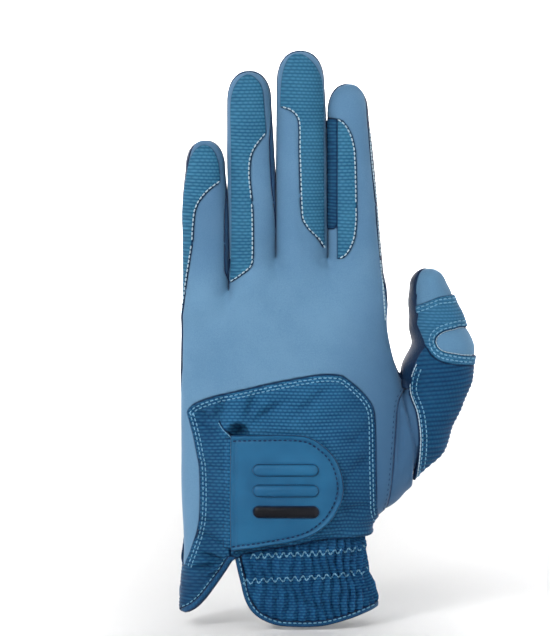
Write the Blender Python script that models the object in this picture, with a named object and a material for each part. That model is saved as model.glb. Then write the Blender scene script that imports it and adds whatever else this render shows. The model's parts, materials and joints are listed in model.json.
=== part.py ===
"""Left-hand golf glove, filled out as if worn: back of the hand towards -Y, fingers up along +Z.

The origin is the middle of the wrist opening, level with the lowest point of the hem.
Every panel is a thin closed shell of its own. Each finger is split at its knuckle and at its
middle joint, and cut back on the palm side there, so that it can bend without overlap.
"""

import math

import bmesh
import bpy
from mathutils import Matrix, Vector

MM = 0.001
GAP = 0.3  # between pieces that are sewn or pressed together
WALL = 1.0  # fabric and leather panels
FAR = 80.0  # half size of a cutting tool, past the whole hand

SIDE_SEAM_Y = 0.0  # the side seam runs down the middle of the hand's thickness
HAND_POWER = 2.4  # squareness of the hand's cross-section
HAND_POINTS = 36
FINGER_POWER = 2.3
FINGER_POINTS = 24

# The hand: height, left edge, right edge, back depth, palm depth.
HAND_SECTIONS = [
    (-2, -41.5, 39.5, 22.0, 22.0),
    (8, -42.0, 40.7, 21.5, 21.5),
    (14, -41.8, 39.5, 20.5, 20.5),
    (22, -40.6, 36.4, 19.5, 19.5),
    (30, -40.3, 35.6, 19.0, 19.0),
    (40, -40.5, 38.6, 18.6, 19.5),
    (47, -40.8, 44.2, 18.3, 20.5),
    (54, -41.2, 51.0, 18.0, 21.5),
    (60, -41.4, 55.8, 17.5, 22.0),
    (68, -41.6, 57.8, 17.0, 22.0),
    (80, -41.6, 56.3, 16.2, 21.0),
    (93, -41.6, 53.0, 15.2, 19.0),
    (103, -41.6, 49.6, 14.5, 17.5),
    (118, -41.6, 45.6, 13.5, 15.0),
    (135, -41.2, 43.9, 12.5, 13.0),
    (147, -41.0, 42.6, 11.5, 12.0),
    (162, -40.7, 41.4, 10.5, 11.0),
]

# Each finger from its knuckle axis: place, lean, lengths, widths at root and tip, depth.
FINGERS = {
    "little": {"x": -31.8, "z": 147, "lean": 0.4, "middle": 25, "tip": 55.4, "w": (18.0, 16.6), "d": 16.6},
    "ring": {"x": -11.7, "z": 158, "lean": -0.9, "middle": 35, "tip": 73.4, "w": (18.7, 18.4), "d": 17.8},
    "middle": {"x": 8.7, "z": 159, "lean": -0.3, "middle": 39, "tip": 81.2, "w": (19.8, 19.4), "d": 18.6},
    "index": {"x": 30.6, "z": 159, "lean": -2.3, "middle": 32, "tip": 67.8, "w": (20.4, 17.6), "d": 18.2},
}
AXIS_DEPTH = 4.0  # a finger's hinge axis lies this far to the palm side of its middle
KNUCKLE_BEND = 75.0
MIDDLE_BEND = 90.0
BAND_HALF = 5.0  # half the width of the strip down each side of a finger
JOINT_GAP = 0.4
THUMB_JOINT_GAP = 0.8
TIP_ROUND = 11.0  # length of a rounded fingertip

# The thumb: its base and knuckle axes, its tip, and the way that its back faces.
THUMB_BASE = Vector((62.3, 8.7, 91.4))
THUMB_KNUCKLE = Vector((69.7, 10.0, 114.2))
THUMB_TIP = Vector((61.5, 21.0, 147.6))
THUMB_BACK_TURN = 55.0  # degrees from -Y towards +X
THUMB_CLEARANCE = 1.2  # between the thumb and the hole it swings in
THUMB_BASE_BEND = 30.0
THUMB_TIP_BEND = 45.0
THUMB_TIP_STRAIGHTEN = 20.0
THUMB_BASE_RADIUS, THUMB_KNUCKLE_RADIUS, THUMB_END_RADIUS = 12.2, 12.6, 8.0

# Outlines on the back of the hand, as (x, z).
PANEL_TOP = [(-38.6, 90.0), (-30.0, 94.5), (-16.0, 97.8), (0.0, 101.6), (12.0, 104.6), (22.0, 105.2),
             (27.5, 103.6)]
PANEL_RIGHT = [(32.0, 99.6), (36.8, 95.0), (39.2, 90.0), (40.2, 75.0), (39.6, 58.0), (40.2, 47.0),
               (38.6, 42.0)]
PANEL_BOTTOM = [(36.0, 37.0), (20.0, 36.0), (0.0, 33.0), (-14.5, 30.6)]
SLIT = [(-17.6, 30.6), (-17.9, 60.0), (-18.6, 78.0), (-20.9, 78.0), (-20.8, 60.0), (-20.2, 29.0)]
FLAP = [(-24.4, 22.0), (-30.0, 12.6), (-36.0, 6.2), (-39.4, 4.2)]
PANEL_LEFT = [(-44.5, 4.2), (-44.5, 22.0), (-38.8, 33.0), (-35.2, 46.0), (-33.8, 56.0), (-35.0, 68.0),
              (-37.6, 80.0)]
CUFF_LEFT = [(-17.9, 29.0), (-15.4, 21.0), (-14.0, 12.0), (-11.0, 6.4), (-6.0, 3.0)]
CUFF_HEM = [(0.0, 0.8), (8.0, 0.0), (22.0, 0.6), (32.0, 2.8), (45.0, 5.6)]
CUFF_TOP = [(45.0, 36.0), (36.0, 36.2), (20.0, 35.2), (0.0, 32.2), (-15.0, 29.8)]
# The palm side's hem arches up behind the notch between the flap and the cuff.
PALM_HEM = [(-45.0, 4.4), (-39.0, 8.0), (-33.0, 17.0), (-27.0, 24.5), (-19.0, 28.0), (-9.0, 26.6),
            (3.0, 20.0), (14.0, 13.0), (26.0, 8.4), (45.0, 5.6)]  # fmt: skip
CUFF_SEAM_Z = 36.0
HEM_WIDTH = 2.8
HEM_PROUD = 0.6  # the folded tape stands this far off the cuff, inside and outside
# Inside the back of the cuff: the height of each band's middle at its left and right end.
ELASTIC_BANDS = {"elastic_band_lower": (18.6, 21.6), "elastic_band_upper": (28.6, 31.4)}
ELASTIC_SPAN = (-9.5, 36.5)
ELASTIC_WIDTH, ELASTIC_THICK = 5.0, 0.7
LABEL = [(-12, 42), (2, 42), (2, 62), (-12, 62)]
LABEL_THICK = 0.5

TAB_ROOT_X = -20.6
TAB_MIDDLE_Z = 54.5
TAB = [(-20.2, 77.6), (2.0, 78.2), (11.0, 77.2), (17.5, 74.8), (22.6, 69.6), (25.6, 62.6), (26.2, 55.4),
       (24.8, 48.6), (21.4, 42.4), (16.4, 37.8), (8.0, 34.8), (-4.0, 32.6), (-20.2, 30.8)]  # fmt: skip
LOOP_INSET, HOOK_INSET = 2.4, 4.2
RIB_LENGTH, RIB_HEIGHT, RIB_PITCH = 27.0, 5.2, 8.6
RIB_CENTRE = (2.4, 55.2)
# Layers of the closure, each as lowest and highest distance from the panel beneath.
LOOP_LAYER, HOOK_LAYER, STRAP_LAYER, COVER_LAYER, RIB_LAYER = (
    (0.3, 0.9),
    (1.2, 1.8),
    (2.1, 2.7),
    (3.0, 4.2),
    (4.5, 5.7),
)

MATERIALS = {
    "stretch": ((0.135, 0.285, 0.435, 1), 0.75),
    "mesh_leather": ((0.040, 0.130, 0.225, 1), 0.60),
    "palm_leather": ((0.045, 0.140, 0.240, 1), 0.55),
    "cuff": ((0.032, 0.110, 0.200, 1), 0.65),
    "binding": ((0.040, 0.150, 0.270, 1), 0.60),
    "rubber": ((0.045, 0.165, 0.290, 1), 0.45),
    "dark_rubber": ((0.008, 0.008, 0.012, 1), 0.45),
    "hook_and_loop": ((0.030, 0.100, 0.180, 1), 0.95),
    "label": ((0.75, 0.76, 0.76, 1), 0.80),
}


def clear_scene():
    for obj in list(bpy.data.objects):
        bpy.data.objects.remove(obj)


def material(name):
    if name in bpy.data.materials:
        return bpy.data.materials[name]
    colour, roughness = MATERIALS[name]
    made = bpy.data.materials.new(name)
    made.use_nodes = True
    shader = made.node_tree.nodes["Principled BSDF"]
    shader.inputs["Base Color"].default_value = colour
    shader.inputs["Roughness"].default_value = roughness
    shader.inputs["Metallic"].default_value = 0.0
    return made


def joint_empty(name, place, parent=None, axes=None):
    """An empty on a joint's axis; place is in millimetres in the hand's frame."""
    empty = bpy.data.objects.new(name, None)
    bpy.context.collection.objects.link(empty)
    matrix = (axes or Matrix.Identity(3)).to_4x4()
    matrix.translation = Vector(place) * MM
    empty.parent = parent
    bpy.context.view_layer.update()
    empty.matrix_world = matrix
    bpy.context.view_layer.update()
    return empty


def node(name, shape, slot, parent=None, local=False):
    """Turns a shape in millimetres into a named object. A local shape is in its parent's frame."""
    bmesh.ops.recalc_face_normals(shape, faces=shape.faces)
    mesh = bpy.data.meshes.new(name)
    if parent and not local:
        bmesh.ops.transform(shape, matrix=Matrix.Scale(MM, 4), verts=shape.verts)
        bmesh.ops.transform(shape, matrix=parent.matrix_world.inverted(), verts=shape.verts)
    else:
        bmesh.ops.transform(shape, matrix=Matrix.Scale(MM, 4), verts=shape.verts)
    shape.to_mesh(mesh)
    shape.free()
    mesh.materials.append(material(slot))
    mesh.shade_smooth()
    mesh.set_sharp_from_angle(angle=math.radians(40))
    obj = bpy.data.objects.new(name, mesh)
    bpy.context.collection.objects.link(obj)
    obj.parent = parent
    return obj


def cutter(name, shape):
    obj = node(name, shape, "label")
    obj.hide_render = True
    obj.display_type = "WIRE"
    return obj


def boolean(obj, tool, operation):
    modifier = obj.modifiers.new(f"{operation.lower()} {tool.name}", "BOOLEAN")
    modifier.operation = operation
    modifier.object = tool


def signed_power(value, power):
    return math.copysign(abs(value) ** (2.0 / power), value)


def oval(middle_x, half_width, back, front, power, points):
    """A squared oval as (x, y), with its own depth to the back and to the palm side."""
    made = []
    for i in range(points):
        turn = 2 * math.pi * i / points
        x = middle_x + half_width * signed_power(math.sin(turn), power)
        depth = back if math.cos(turn) > 0 else front
        made.append((x, -depth * signed_power(math.cos(turn), power)))
    return made


def shell(outer, inner, closed_tip=False):
    """A closed solid between two stacks of rings; closed_tip ends each stack in a single point."""
    shape = bmesh.new()
    stacks = []
    for rings in (outer, inner):
        made = [[shape.verts.new(p) for p in ring] for ring in rings]
        for low, high in zip(made, made[1:]):
            bridge(shape, low, high)
        stacks.append(made)
    bridge(shape, stacks[0][0], stacks[1][0])
    if not closed_tip:
        bridge(shape, stacks[0][-1], stacks[1][-1])
    bmesh.ops.remove_doubles(shape, verts=shape.verts, dist=1e-4)
    bmesh.ops.recalc_face_normals(shape, faces=shape.faces)
    return shape


def bridge(shape, low, high):
    """Faces between two rings; a ring of one point makes a fan."""
    count = max(len(low), len(high))
    for i in range(count):
        j = (i + 1) % count
        corners = [low[i % len(low)], low[j % len(low)], high[j % len(high)], high[i % len(high)]]
        unique = list(dict.fromkeys(corners))
        shape.faces.new(unique)


def prism(outline, low_y, high_y):
    """A block with an (x, z) outline, from low_y to high_y."""
    shape = bmesh.new()
    face = shape.faces.new([shape.verts.new((x, low_y, z)) for x, z in outline])
    pushed = bmesh.ops.extrude_face_region(shape, geom=[face])["geom"]
    moved = [v for v in pushed if isinstance(v, bmesh.types.BMVert)]
    bmesh.ops.translate(shape, verts=moved, vec=(0, high_y - low_y, 0))
    bmesh.ops.recalc_face_normals(shape, faces=shape.faces)
    return shape


def trim(shape, planes):
    """Keeps what lies behind each plane, given as (point, outward normal), and closes each cut."""
    for point, normal in planes:
        everything = shape.verts[:] + shape.edges[:] + shape.faces[:]
        cut = bmesh.ops.bisect_plane(
            shape, geom=everything, dist=1e-5, plane_co=point, plane_no=normal, clear_outer=True
        )["geom_cut"]
        edges = [e for e in cut if isinstance(e, bmesh.types.BMEdge)]
        bmesh.ops.triangle_fill(shape, edges=edges, use_beauty=True)
    bmesh.ops.recalc_face_normals(shape, faces=shape.faces)
    return shape


def inset(outline, distance):
    """The outline moved inwards, or outwards if distance is negative. It runs either way round."""
    area = sum(x0 * z1 - x1 * z0 for (x0, z0), (x1, z1) in zip(outline, outline[1:] + outline[:1]))
    side = math.copysign(distance, area)
    moved = []
    for before, here, after in zip(outline[-1:] + outline[:-1], outline, outline[1:] + outline[:1]):
        first = (Vector(here) - Vector(before)).normalized()
        second = (Vector(after) - Vector(here)).normalized()
        bisector = (first.orthogonal() + second.orthogonal()).normalized()
        reach = side / max(0.35, bisector.dot(first.orthogonal()))
        moved.append(tuple(Vector(here) + bisector * reach))
    return moved


# ---------------------------------------------------------------- the hand


def hand_ring(section, offset):
    z, left, right, back, palm = section
    middle = (left + right) / 2
    flat = oval(middle, (right - left) / 2 + offset, back + offset, palm + offset, HAND_POWER, HAND_POINTS)
    return [(x, y, z) for x, y in flat]


def hand_layer(low, high):
    """The hand's skin between two distances from its outer surface."""
    outer = [hand_ring(s, high) for s in HAND_SECTIONS]
    inner = [hand_ring(s, low) for s in HAND_SECTIONS]
    return shell(outer, inner)


def back_depth(x, z):
    """How far the outer surface lies in front of the side seam at a place on the back."""
    for low, high in zip(HAND_SECTIONS, HAND_SECTIONS[1:]):
        if low[0] <= z <= high[0]:
            break
    share = (z - low[0]) / (high[0] - low[0])
    left, right, back = (a + share * (b - a) for a, b in zip(low[1:4], high[1:4]))
    sideways = abs(x - (left + right) / 2) / ((right - left) / 2)
    return back * (1 - sideways**HAND_POWER) ** (1 / HAND_POWER)


def hand_piece(name, outline, side, slot, layer=(-WALL, 0.0), parent=None):
    """A piece of the hand's skin: what lies behind an outline, on the back or the palm side."""
    low_y, high_y = (-FAR, SIDE_SEAM_Y - GAP / 2) if side == "back" else (SIDE_SEAM_Y + GAP / 2, FAR)
    obj = node(name, hand_layer(*layer), slot, parent)
    tool = cutter(f"{name}_outline", prism(outline, low_y, high_y))
    boolean(obj, tool, "INTERSECT")
    return obj


def thumb_sweeps():
    """The room that the thumb takes, from rest to its furthest bend, as cutting tools."""
    tools = []
    steps = 3
    for i in range(steps):
        turn = Matrix.Rotation(math.radians(THUMB_BASE_BEND) * i / (steps - 1), 3, thumb_axis())
        along = turn @ (THUMB_KNUCKLE - THUMB_BASE)
        radius = THUMB_KNUCKLE_RADIUS + THUMB_CLEARANCE
        rings = [[tuple(p) for p in thumb_ring(THUMB_BASE + along * s, along, radius)] for s in (-0.6, 1.3)]
        shape = bmesh.new()
        made = [[shape.verts.new(p) for p in ring] for ring in rings]
        bridge(shape, *made)
        shape.faces.new(made[0])
        shape.faces.new(made[1])
        tools.append(cutter(f"thumb_sweep_{i}", shape))
    return tools


def build_hand():
    """The palm, the back, the thumb gusset, the wrist panel and the cuff: the part that stays still."""
    panel = PANEL_TOP + PANEL_RIGHT + PANEL_BOTTOM + SLIT + FLAP + PANEL_LEFT
    finger_line = [(-45, 145.5), (-22.3, 145.5), (-21.9, 156.5), (45, 157.5)]
    gusset_seam = [(49.0, 94.0), (48.0, 78.0), (46.0, 60.0), (42.6, 47.0)]
    back_outline = finger_line + [(47.2, 110.0)] + gusset_seam
    back_outline += [(x + GAP, z) for x, z in reversed(PANEL_RIGHT[1:-2])] + [(32.2, 100.0), (27.7, 104.0)]
    back_outline += [(x, z + GAP) for x, z in reversed(PANEL_TOP[:-1])]
    back_outline += [(x - GAP, z) for x, z in reversed(PANEL_LEFT[2:])] + [(-45, 22.5)]
    gusset_outline = [(x + GAP, z) for x, z in gusset_seam] + [(60, 40), (60, 112), (47.6, 110.0)]
    palm_outline = [(-45, 138.6), (-22.3, 138.6), (-21.9, 149.8), (45, 150.8), (60, 110),
                    (60, CUFF_SEAM_Z + GAP),
                    (-45, CUFF_SEAM_Z + GAP)]  # fmt: skip
    cuff_outline = CUFF_LEFT + CUFF_HEM + CUFF_TOP
    palm_cuff_outline = PALM_HEM + [(45, CUFF_SEAM_Z - GAP / 2), (-45, CUFF_SEAM_Z - GAP / 2)]

    sweeps = thumb_sweeps()
    back = hand_piece("back_panel", back_outline, "back", "stretch")
    gusset = hand_piece("thumb_gusset", gusset_outline, "back", "stretch")
    palm = hand_piece("palm_panel", palm_outline, "palm", "palm_leather")
    for piece in (back, gusset, palm):
        for tool in sweeps:
            boolean(piece, tool, "DIFFERENCE")
    hand_piece("wrist_panel", panel, "back", "mesh_leather")

    cuffs = (("cuff_back", cuff_outline, "back"), ("cuff_palm", palm_cuff_outline, "palm"))
    for name, outline, side in cuffs:
        cuff = hand_piece(name, outline, side, "cuff")
        hem_side = CUFF_LEFT[1:] + CUFF_HEM if side == "back" else PALM_HEM
        room = hem_band(hem_side, HEM_WIDTH + GAP, 1.0)
        boolean(cuff, cutter(f"{name}_hem_room", prism(room, -FAR, FAR)), "DIFFERENCE")
        band = hem_band(hem_side, HEM_WIDTH)
        hand_piece(name.replace("cuff", "hem_binding"), band, side, "binding", (-WALL - HEM_PROUD, HEM_PROUD))
    under = -WALL - GAP
    for name, heights in ELASTIC_BANDS.items():
        low = [(x, z - ELASTIC_WIDTH / 2) for x, z in zip(ELASTIC_SPAN, heights)]
        high = [(x, z + ELASTIC_WIDTH / 2) for x, z in zip(ELASTIC_SPAN, heights)]
        hand_piece(name, low + high[::-1], "back", "cuff", (under - ELASTIC_THICK, under))
    hand_piece("size_label", LABEL, "palm", "label", (under - LABEL_THICK, under))


def hem_band(line, up, down=0.0):
    """The strip from below a hem line to above it, as an outline."""
    low, high = [], []
    for before, here, after in zip(line[:1] + line[:-1], line, line[1:] + line[-1:]):
        along = (Vector(after) - Vector(before)).normalized()
        rise = Vector((-along.y, along.x))
        low.append(tuple(Vector(here) - rise * down))
        high.append(tuple(Vector(here) + rise * up))
    return low + high[::-1]


# ---------------------------------------------------------------- the closure tab


def tab_axis_point():
    depth = back_depth(TAB_ROOT_X, TAB_MIDDLE_Z) + COVER_LAYER[1]
    return Vector((TAB_ROOT_X, -depth - 0.3, TAB_MIDDLE_Z))


def rounded_bar(centre, length, height, corner_points=5):
    """A bar with round ends, as an (x, z) outline."""
    x, z = centre
    reach, radius = length / 2 - height / 2, height / 2
    ends = []
    for side in (1, -1):
        for i in range(corner_points):
            turn = math.pi * (i / (corner_points - 1) - 0.5)
            ends.append((x + side * (reach + radius * math.cos(turn)), z + side * radius * math.sin(turn)))
    return ends


def build_tab():
    """The closure: a strap that hinges at its sewn root, and the loop patch that it presses onto."""
    hinge = joint_empty("tab_hinge", tab_axis_point())
    grown = [(max(x, -16.4), z) for x, z in inset(TAB, LOOP_INSET)]
    hand_piece("loop_patch", grown, "back", "hook_and_loop", LOOP_LAYER)
    hook = [(max(x, -13.0), z) for x, z in inset(TAB, HOOK_INSET)]
    hand_piece("hook_patch", hook, "back", "hook_and_loop", HOOK_LAYER, hinge)
    hand_piece("tab_strap", inset(TAB, 0.6), "back", "mesh_leather", STRAP_LAYER, hinge)
    hand_piece("tab_cover", TAB, "back", "rubber", COVER_LAYER, hinge)
    ribs = (("grip_rib_top", 1, "rubber"), ("grip_rib_middle", 0, "rubber"),
            ("grip_rib_dark", -1, "dark_rubber"))
    for name, row, slot in ribs:
        centre = (RIB_CENTRE[0], RIB_CENTRE[1] + row * RIB_PITCH)
        hand_piece(name, rounded_bar(centre, RIB_LENGTH, RIB_HEIGHT), "back", slot, RIB_LAYER, hinge)


# ---------------------------------------------------------------- the fingers


def finger_ring(z, half_width, half_depth):
    flat = oval(0, half_width, half_depth, half_depth, FINGER_POWER, FINGER_POINTS)
    return [(x, y - AXIS_DEPTH, z) for x, y in flat]


def finger_stack(finger, inward, low, high):
    """Rings up a finger from low to high; a stack that reaches the tip ends in a point."""
    root, end = (w / 2 - inward for w in finger["w"])
    depth = finger["d"] / 2 - inward
    tip = finger["tip"] - inward
    round_start = finger["tip"] - TIP_ROUND
    heights = [low, high] if high < tip else [low, (low + round_start) / 2, round_start]
    rings = []
    for z in heights:
        share = max(0.0, z) / finger["tip"]
        rings.append(finger_ring(z, root + (end - root) * share, depth))
    if high >= tip:
        cap = tip - round_start
        for turn in (22.5, 45.0, 67.5):
            across = math.cos(math.radians(turn))
            up = round_start + cap * math.sin(math.radians(turn))
            rings.append(finger_ring(up, end * across, depth * across))
        rings.append([(0, -AXIS_DEPTH, tip)])
    return rings


def finger_shell(finger, low, high):
    closed = high > finger["tip"]
    outer = finger_stack(finger, 0.0, low, high)
    return shell(outer, finger_stack(finger, WALL, low, high), closed)


def bend_planes(z, bend, above):
    """The planes that end a segment at a joint: square at the back, cut back on the palm side."""
    up = 1 if above else -1
    lean = math.radians(bend / 2 + 2.0)
    square = ((0, 0, z + up * JOINT_GAP), (0, 0, -up))
    slant = ((0, 0, z + up * JOINT_GAP), (0, math.sin(lean), -up * math.cos(lean)))
    return [square, slant]


BACK_PLANE = ((0, -AXIS_DEPTH - BAND_HALF - GAP / 2, 0), (0, 1, 0))
BAND_PLANES = [((0, -AXIS_DEPTH - BAND_HALF + GAP / 2, 0), (0, -1, 0)),
               ((0, -AXIS_DEPTH + BAND_HALF - GAP / 2, 0), (0, 1, 0))]  # fmt: skip
FRONT_PLANE = ((0, -AXIS_DEPTH + BAND_HALF + GAP / 2, 0), (0, -1, 0))
LEFT_PLANE, RIGHT_PLANE = ((0, 0, 0), (1, 0, 0)), ((0, 0, 0), (-1, 0, 0))


def build_finger(name, finger):
    """A finger of two segments: back, front and side strips, the last one strip over the tip."""
    lean = Matrix.Rotation(math.radians(finger["lean"]), 3, "Y")
    place = Vector((finger["x"], AXIS_DEPTH, finger["z"]))
    knuckle = joint_empty(f"{name}_knuckle", place, axes=lean)
    bend = joint_empty(f"{name}_bend", place + lean @ Vector((0, 0, finger["middle"])), knuckle, lean)

    ends = bend_planes(0, KNUCKLE_BEND, True) + bend_planes(finger["middle"], MIDDLE_BEND, False)
    low, high = -15.0, finger["middle"] + 15.0

    def lower(piece, planes, slot):
        shape = trim(finger_shell(finger, low, high), ends + planes)
        node(f"{name}_{piece}", shape, slot, knuckle, local=True)

    if name == "little":
        lower("back_lower", [BACK_PLANE], "stretch")
    else:
        mesh_left = name != "middle"
        seam = [((side * GAP / 2, 0, 0), (-side, 0, 0)) for side in (-1, 1)]
        left_cloth, right_cloth = ("mesh_leather", "stretch") if mesh_left else ("stretch", "mesh_leather")
        lower("back_lower_left", [BACK_PLANE, (seam[0][0], (1, 0, 0))], left_cloth)
        lower("back_lower_right", [BACK_PLANE, (seam[1][0], (-1, 0, 0))], right_cloth)
    lower("side_left", BAND_PLANES + [LEFT_PLANE], "stretch")
    lower("side_right", BAND_PLANES + [RIGHT_PLANE], "stretch")
    lower("front_lower", [FRONT_PLANE], "palm_leather")

    start = bend_planes(finger["middle"], MIDDLE_BEND, True)
    pieces = (
        ("back_upper", [BACK_PLANE], "stretch" if name == "index" else "mesh_leather"),
        ("side_over_tip", BAND_PLANES, "stretch"),
        ("front_upper", [FRONT_PLANE], "palm_leather"),
    )
    for piece, planes, slot in pieces:
        shape = trim(finger_shell(finger, finger["middle"] - 15.0, finger["tip"] + 1), start + planes)
        bmesh.ops.translate(shape, verts=shape.verts, vec=(0, 0, -finger["middle"]))
        node(f"{name}_{piece}", shape, slot, bend, local=True)


# ---------------------------------------------------------------- the thumb


def thumb_back_direction():
    turn = math.radians(THUMB_BACK_TURN)
    return Vector((math.sin(turn), -math.cos(turn), 0))


def thumb_axis():
    """Both thumb joints turn about this line: bending carries the tip away from the thumb's back."""
    return thumb_back_direction().cross(THUMB_KNUCKLE - THUMB_BASE).normalized()


def thumb_frame(along):
    """Columns: across, palm side, along, for a stretch of thumb that runs in one direction."""
    z = along.normalized()
    y = (-thumb_back_direction() + z * thumb_back_direction().dot(z)).normalized()
    return Matrix((y.cross(z), y, z)).transposed()


def thumb_ring(centre, along, radius, points=24):
    frame = thumb_frame(along)
    turns = [2 * math.pi * i / points for i in range(points)]
    return [centre + frame @ Vector((math.sin(t), -math.cos(t), 0)) * radius for t in turns]


def thumb_shell(length, low, high, radii, closed):
    """A tapering tube along local +Z; radii are those at 0 and at its length."""
    stacks = []
    for inward in (0.0, WALL):
        rings = []
        round_start = length - radii[1] if closed else high
        for z in (low, (low + round_start) / 2, round_start):
            radius = radii[0] + (radii[1] - radii[0]) * max(0.0, z) / length - inward
            rings.append([(radius * math.sin(t), -radius * math.cos(t), z) for t in ring_turns()])
        if closed:
            cap = length - inward - round_start
            for turn in (25.0, 50.0, 72.0):
                across = radius * math.cos(math.radians(turn))
                up = round_start + cap * math.sin(math.radians(turn))
                rings.append([(across * math.sin(t), -across * math.cos(t), up) for t in ring_turns()])
            rings.append([(0, 0, length - inward)])
        stacks.append(rings)
    return shell(*stacks, closed)


def ring_turns(points=24):
    return [2 * math.pi * i / points for i in range(points)]


def build_thumb():
    """The thumb: a base segment, and a tip segment with a stretch cap and a stretch knuckle patch."""
    base_run, tip_run = THUMB_KNUCKLE - THUMB_BASE, THUMB_TIP - THUMB_KNUCKLE
    base = joint_empty("thumb_base_joint", THUMB_BASE, axes=thumb_frame(base_run))
    knuckle = joint_empty("thumb_tip_joint", THUMB_KNUCKLE, base, thumb_frame(tip_run))
    rest_bend = math.degrees(base_run.angle(tip_run))
    palm_cut = math.radians((rest_bend + THUMB_TIP_BEND) / 2 + 3)
    back_cut = math.radians((THUMB_TIP_STRAIGHTEN - rest_bend) / 2 + 3)

    def joint_planes(z, up):
        point = (0, 0, z + up * THUMB_JOINT_GAP)
        slants = ((0, math.sin(palm_cut), -up * math.cos(palm_cut)),
                  (0, -math.sin(back_cut), -up * math.cos(back_cut)))
        return [(point, slant) for slant in slants]

    seam_y = 2.0
    back_side, front_side = ((0, seam_y - GAP / 2, 0), (0, 1, 0)), ((0, seam_y + GAP / 2, 0), (0, -1, 0))
    length = base_run.length
    radii = (THUMB_BASE_RADIUS, THUMB_KNUCKLE_RADIUS)
    for name, half, slot in (("back", back_side, "mesh_leather"), ("front", front_side, "palm_leather")):
        shape = trim(thumb_shell(length, -9.0, length + 14, radii, False), joint_planes(length, -1) + [half])
        node(f"thumb_{name}_lower", shape, slot, base, local=True)

    length = tip_run.length
    radii = (THUMB_KNUCKLE_RADIUS, THUMB_END_RADIUS)
    start = joint_planes(0, 1)
    patch_top, strap_top = 9.0, 20.0
    levels = (
        ("knuckle_patch", [back_side, ((0, 0, patch_top), (0, 0, 1))], "stretch"),
        ("strap", [back_side, ((0, 0, patch_top + GAP), (0, 0, -1)), ((0, 0, strap_top), (0, 0, 1))],
         "mesh_leather"),
        ("tip_cap", [back_side, ((0, 0, strap_top + GAP), (0, 0, -1))], "stretch"),
        ("front_upper", [front_side], "palm_leather"),
    )
    for name, planes, slot in levels:
        shape = trim(thumb_shell(length, -14.0, length, radii, True), start + planes)
        node(f"thumb_{name}", shape, slot, knuckle, local=True)


def build_glove():
    clear_scene()
    build_hand()
    build_tab()
    for name, finger in FINGERS.items():
        build_finger(name, finger)
    build_thumb()


build_glove()
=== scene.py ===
"""Golf glove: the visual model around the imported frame.

The glove's outer surface is a distance field: a flattened hand, four tapering fingers and a
thumb, melted together. It is meshed once, wrinkled, and then cut along the seams into panels,
each of which becomes a thin closed shell. Lengths are in millimetres until a mesh is made.
"""

import json
import math

import bpy
import numpy as np
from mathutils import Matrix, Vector
from mathutils.bvhtree import BVHTree
from mathutils.kdtree import KDTree


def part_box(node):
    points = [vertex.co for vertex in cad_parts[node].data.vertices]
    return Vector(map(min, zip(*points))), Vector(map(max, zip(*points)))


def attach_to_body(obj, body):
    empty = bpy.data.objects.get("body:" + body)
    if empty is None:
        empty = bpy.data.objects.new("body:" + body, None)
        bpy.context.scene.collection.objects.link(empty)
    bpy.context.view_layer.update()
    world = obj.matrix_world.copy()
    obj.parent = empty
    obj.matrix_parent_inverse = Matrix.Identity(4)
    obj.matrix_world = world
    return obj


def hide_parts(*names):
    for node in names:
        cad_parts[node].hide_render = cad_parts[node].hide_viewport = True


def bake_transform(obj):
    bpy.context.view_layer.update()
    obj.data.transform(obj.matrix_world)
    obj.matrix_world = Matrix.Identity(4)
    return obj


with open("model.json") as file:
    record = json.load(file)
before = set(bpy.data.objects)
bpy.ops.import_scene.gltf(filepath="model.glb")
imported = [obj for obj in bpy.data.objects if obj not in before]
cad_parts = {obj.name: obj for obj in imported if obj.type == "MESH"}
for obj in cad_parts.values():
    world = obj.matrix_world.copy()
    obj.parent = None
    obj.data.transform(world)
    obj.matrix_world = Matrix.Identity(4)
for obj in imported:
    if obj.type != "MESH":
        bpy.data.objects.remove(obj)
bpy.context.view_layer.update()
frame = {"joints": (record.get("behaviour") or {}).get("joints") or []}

MM = 0.001
STEP = 1.0  # mesh size of the skin
GRID_LOW = np.array((-47.0, -28.0, -9.0))
GRID_HIGH = np.array((88.0, 36.0, 244.0))
WALL = 0.9  # fabric and leather
JOINTS = {joint["name"]: joint for joint in frame["joints"]}

# ---------------------------------------------------------------- driving shapes

# Hand: height, left edge, right edge, back depth, palm depth.
HAND = np.array([(-12, -41.5, 40.5, 19.5, 19.0), (0, -41.7, 41.0, 19.5, 19.0),
                 (8, -41.9, 40.8, 19.0, 18.8), (14, -41.7, 39.2, 18.3, 18.4),
                 (22, -41.0, 36.3, 17.5, 18.0), (30, -40.5, 35.4, 17.0, 18.2),
                 (40, -40.8, 38.4, 17.0, 19.0), (47, -41.2, 43.0, 17.2, 20.0),
                 (54, -41.5, 47.0, 17.2, 21.0), (60, -41.6, 49.0, 17.0, 21.5),
                 (68, -41.6, 50.0, 16.6, 21.5), (80, -41.6, 51.0, 16.0, 20.5),
                 (93, -41.6, 51.6, 15.0, 18.5), (103, -41.6, 49.6, 14.2, 17.0),
                 (118, -41.4, 46.0, 13.2, 14.8), (135, -41.0, 43.9, 12.2, 12.8),
                 (147, -40.8, 42.9, 11.2, 11.6), (162, -40.6, 41.9, 10.2, 10.6)])  # fmt: skip
HAND_POWER = 2.4
# Height of the webs between the fingers, across the hand.
WEB_LINE = np.array([(-46, 137.2), (-30, 137.6), (-22.6, 138.2), (-17, 144.5), (-9, 150.0), (-2, 151.2),
                     (8, 151.6), (20, 151.4), (34, 150.8), (48, 148.0)])  # fmt: skip
WEB_ROUND = 10.0

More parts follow.
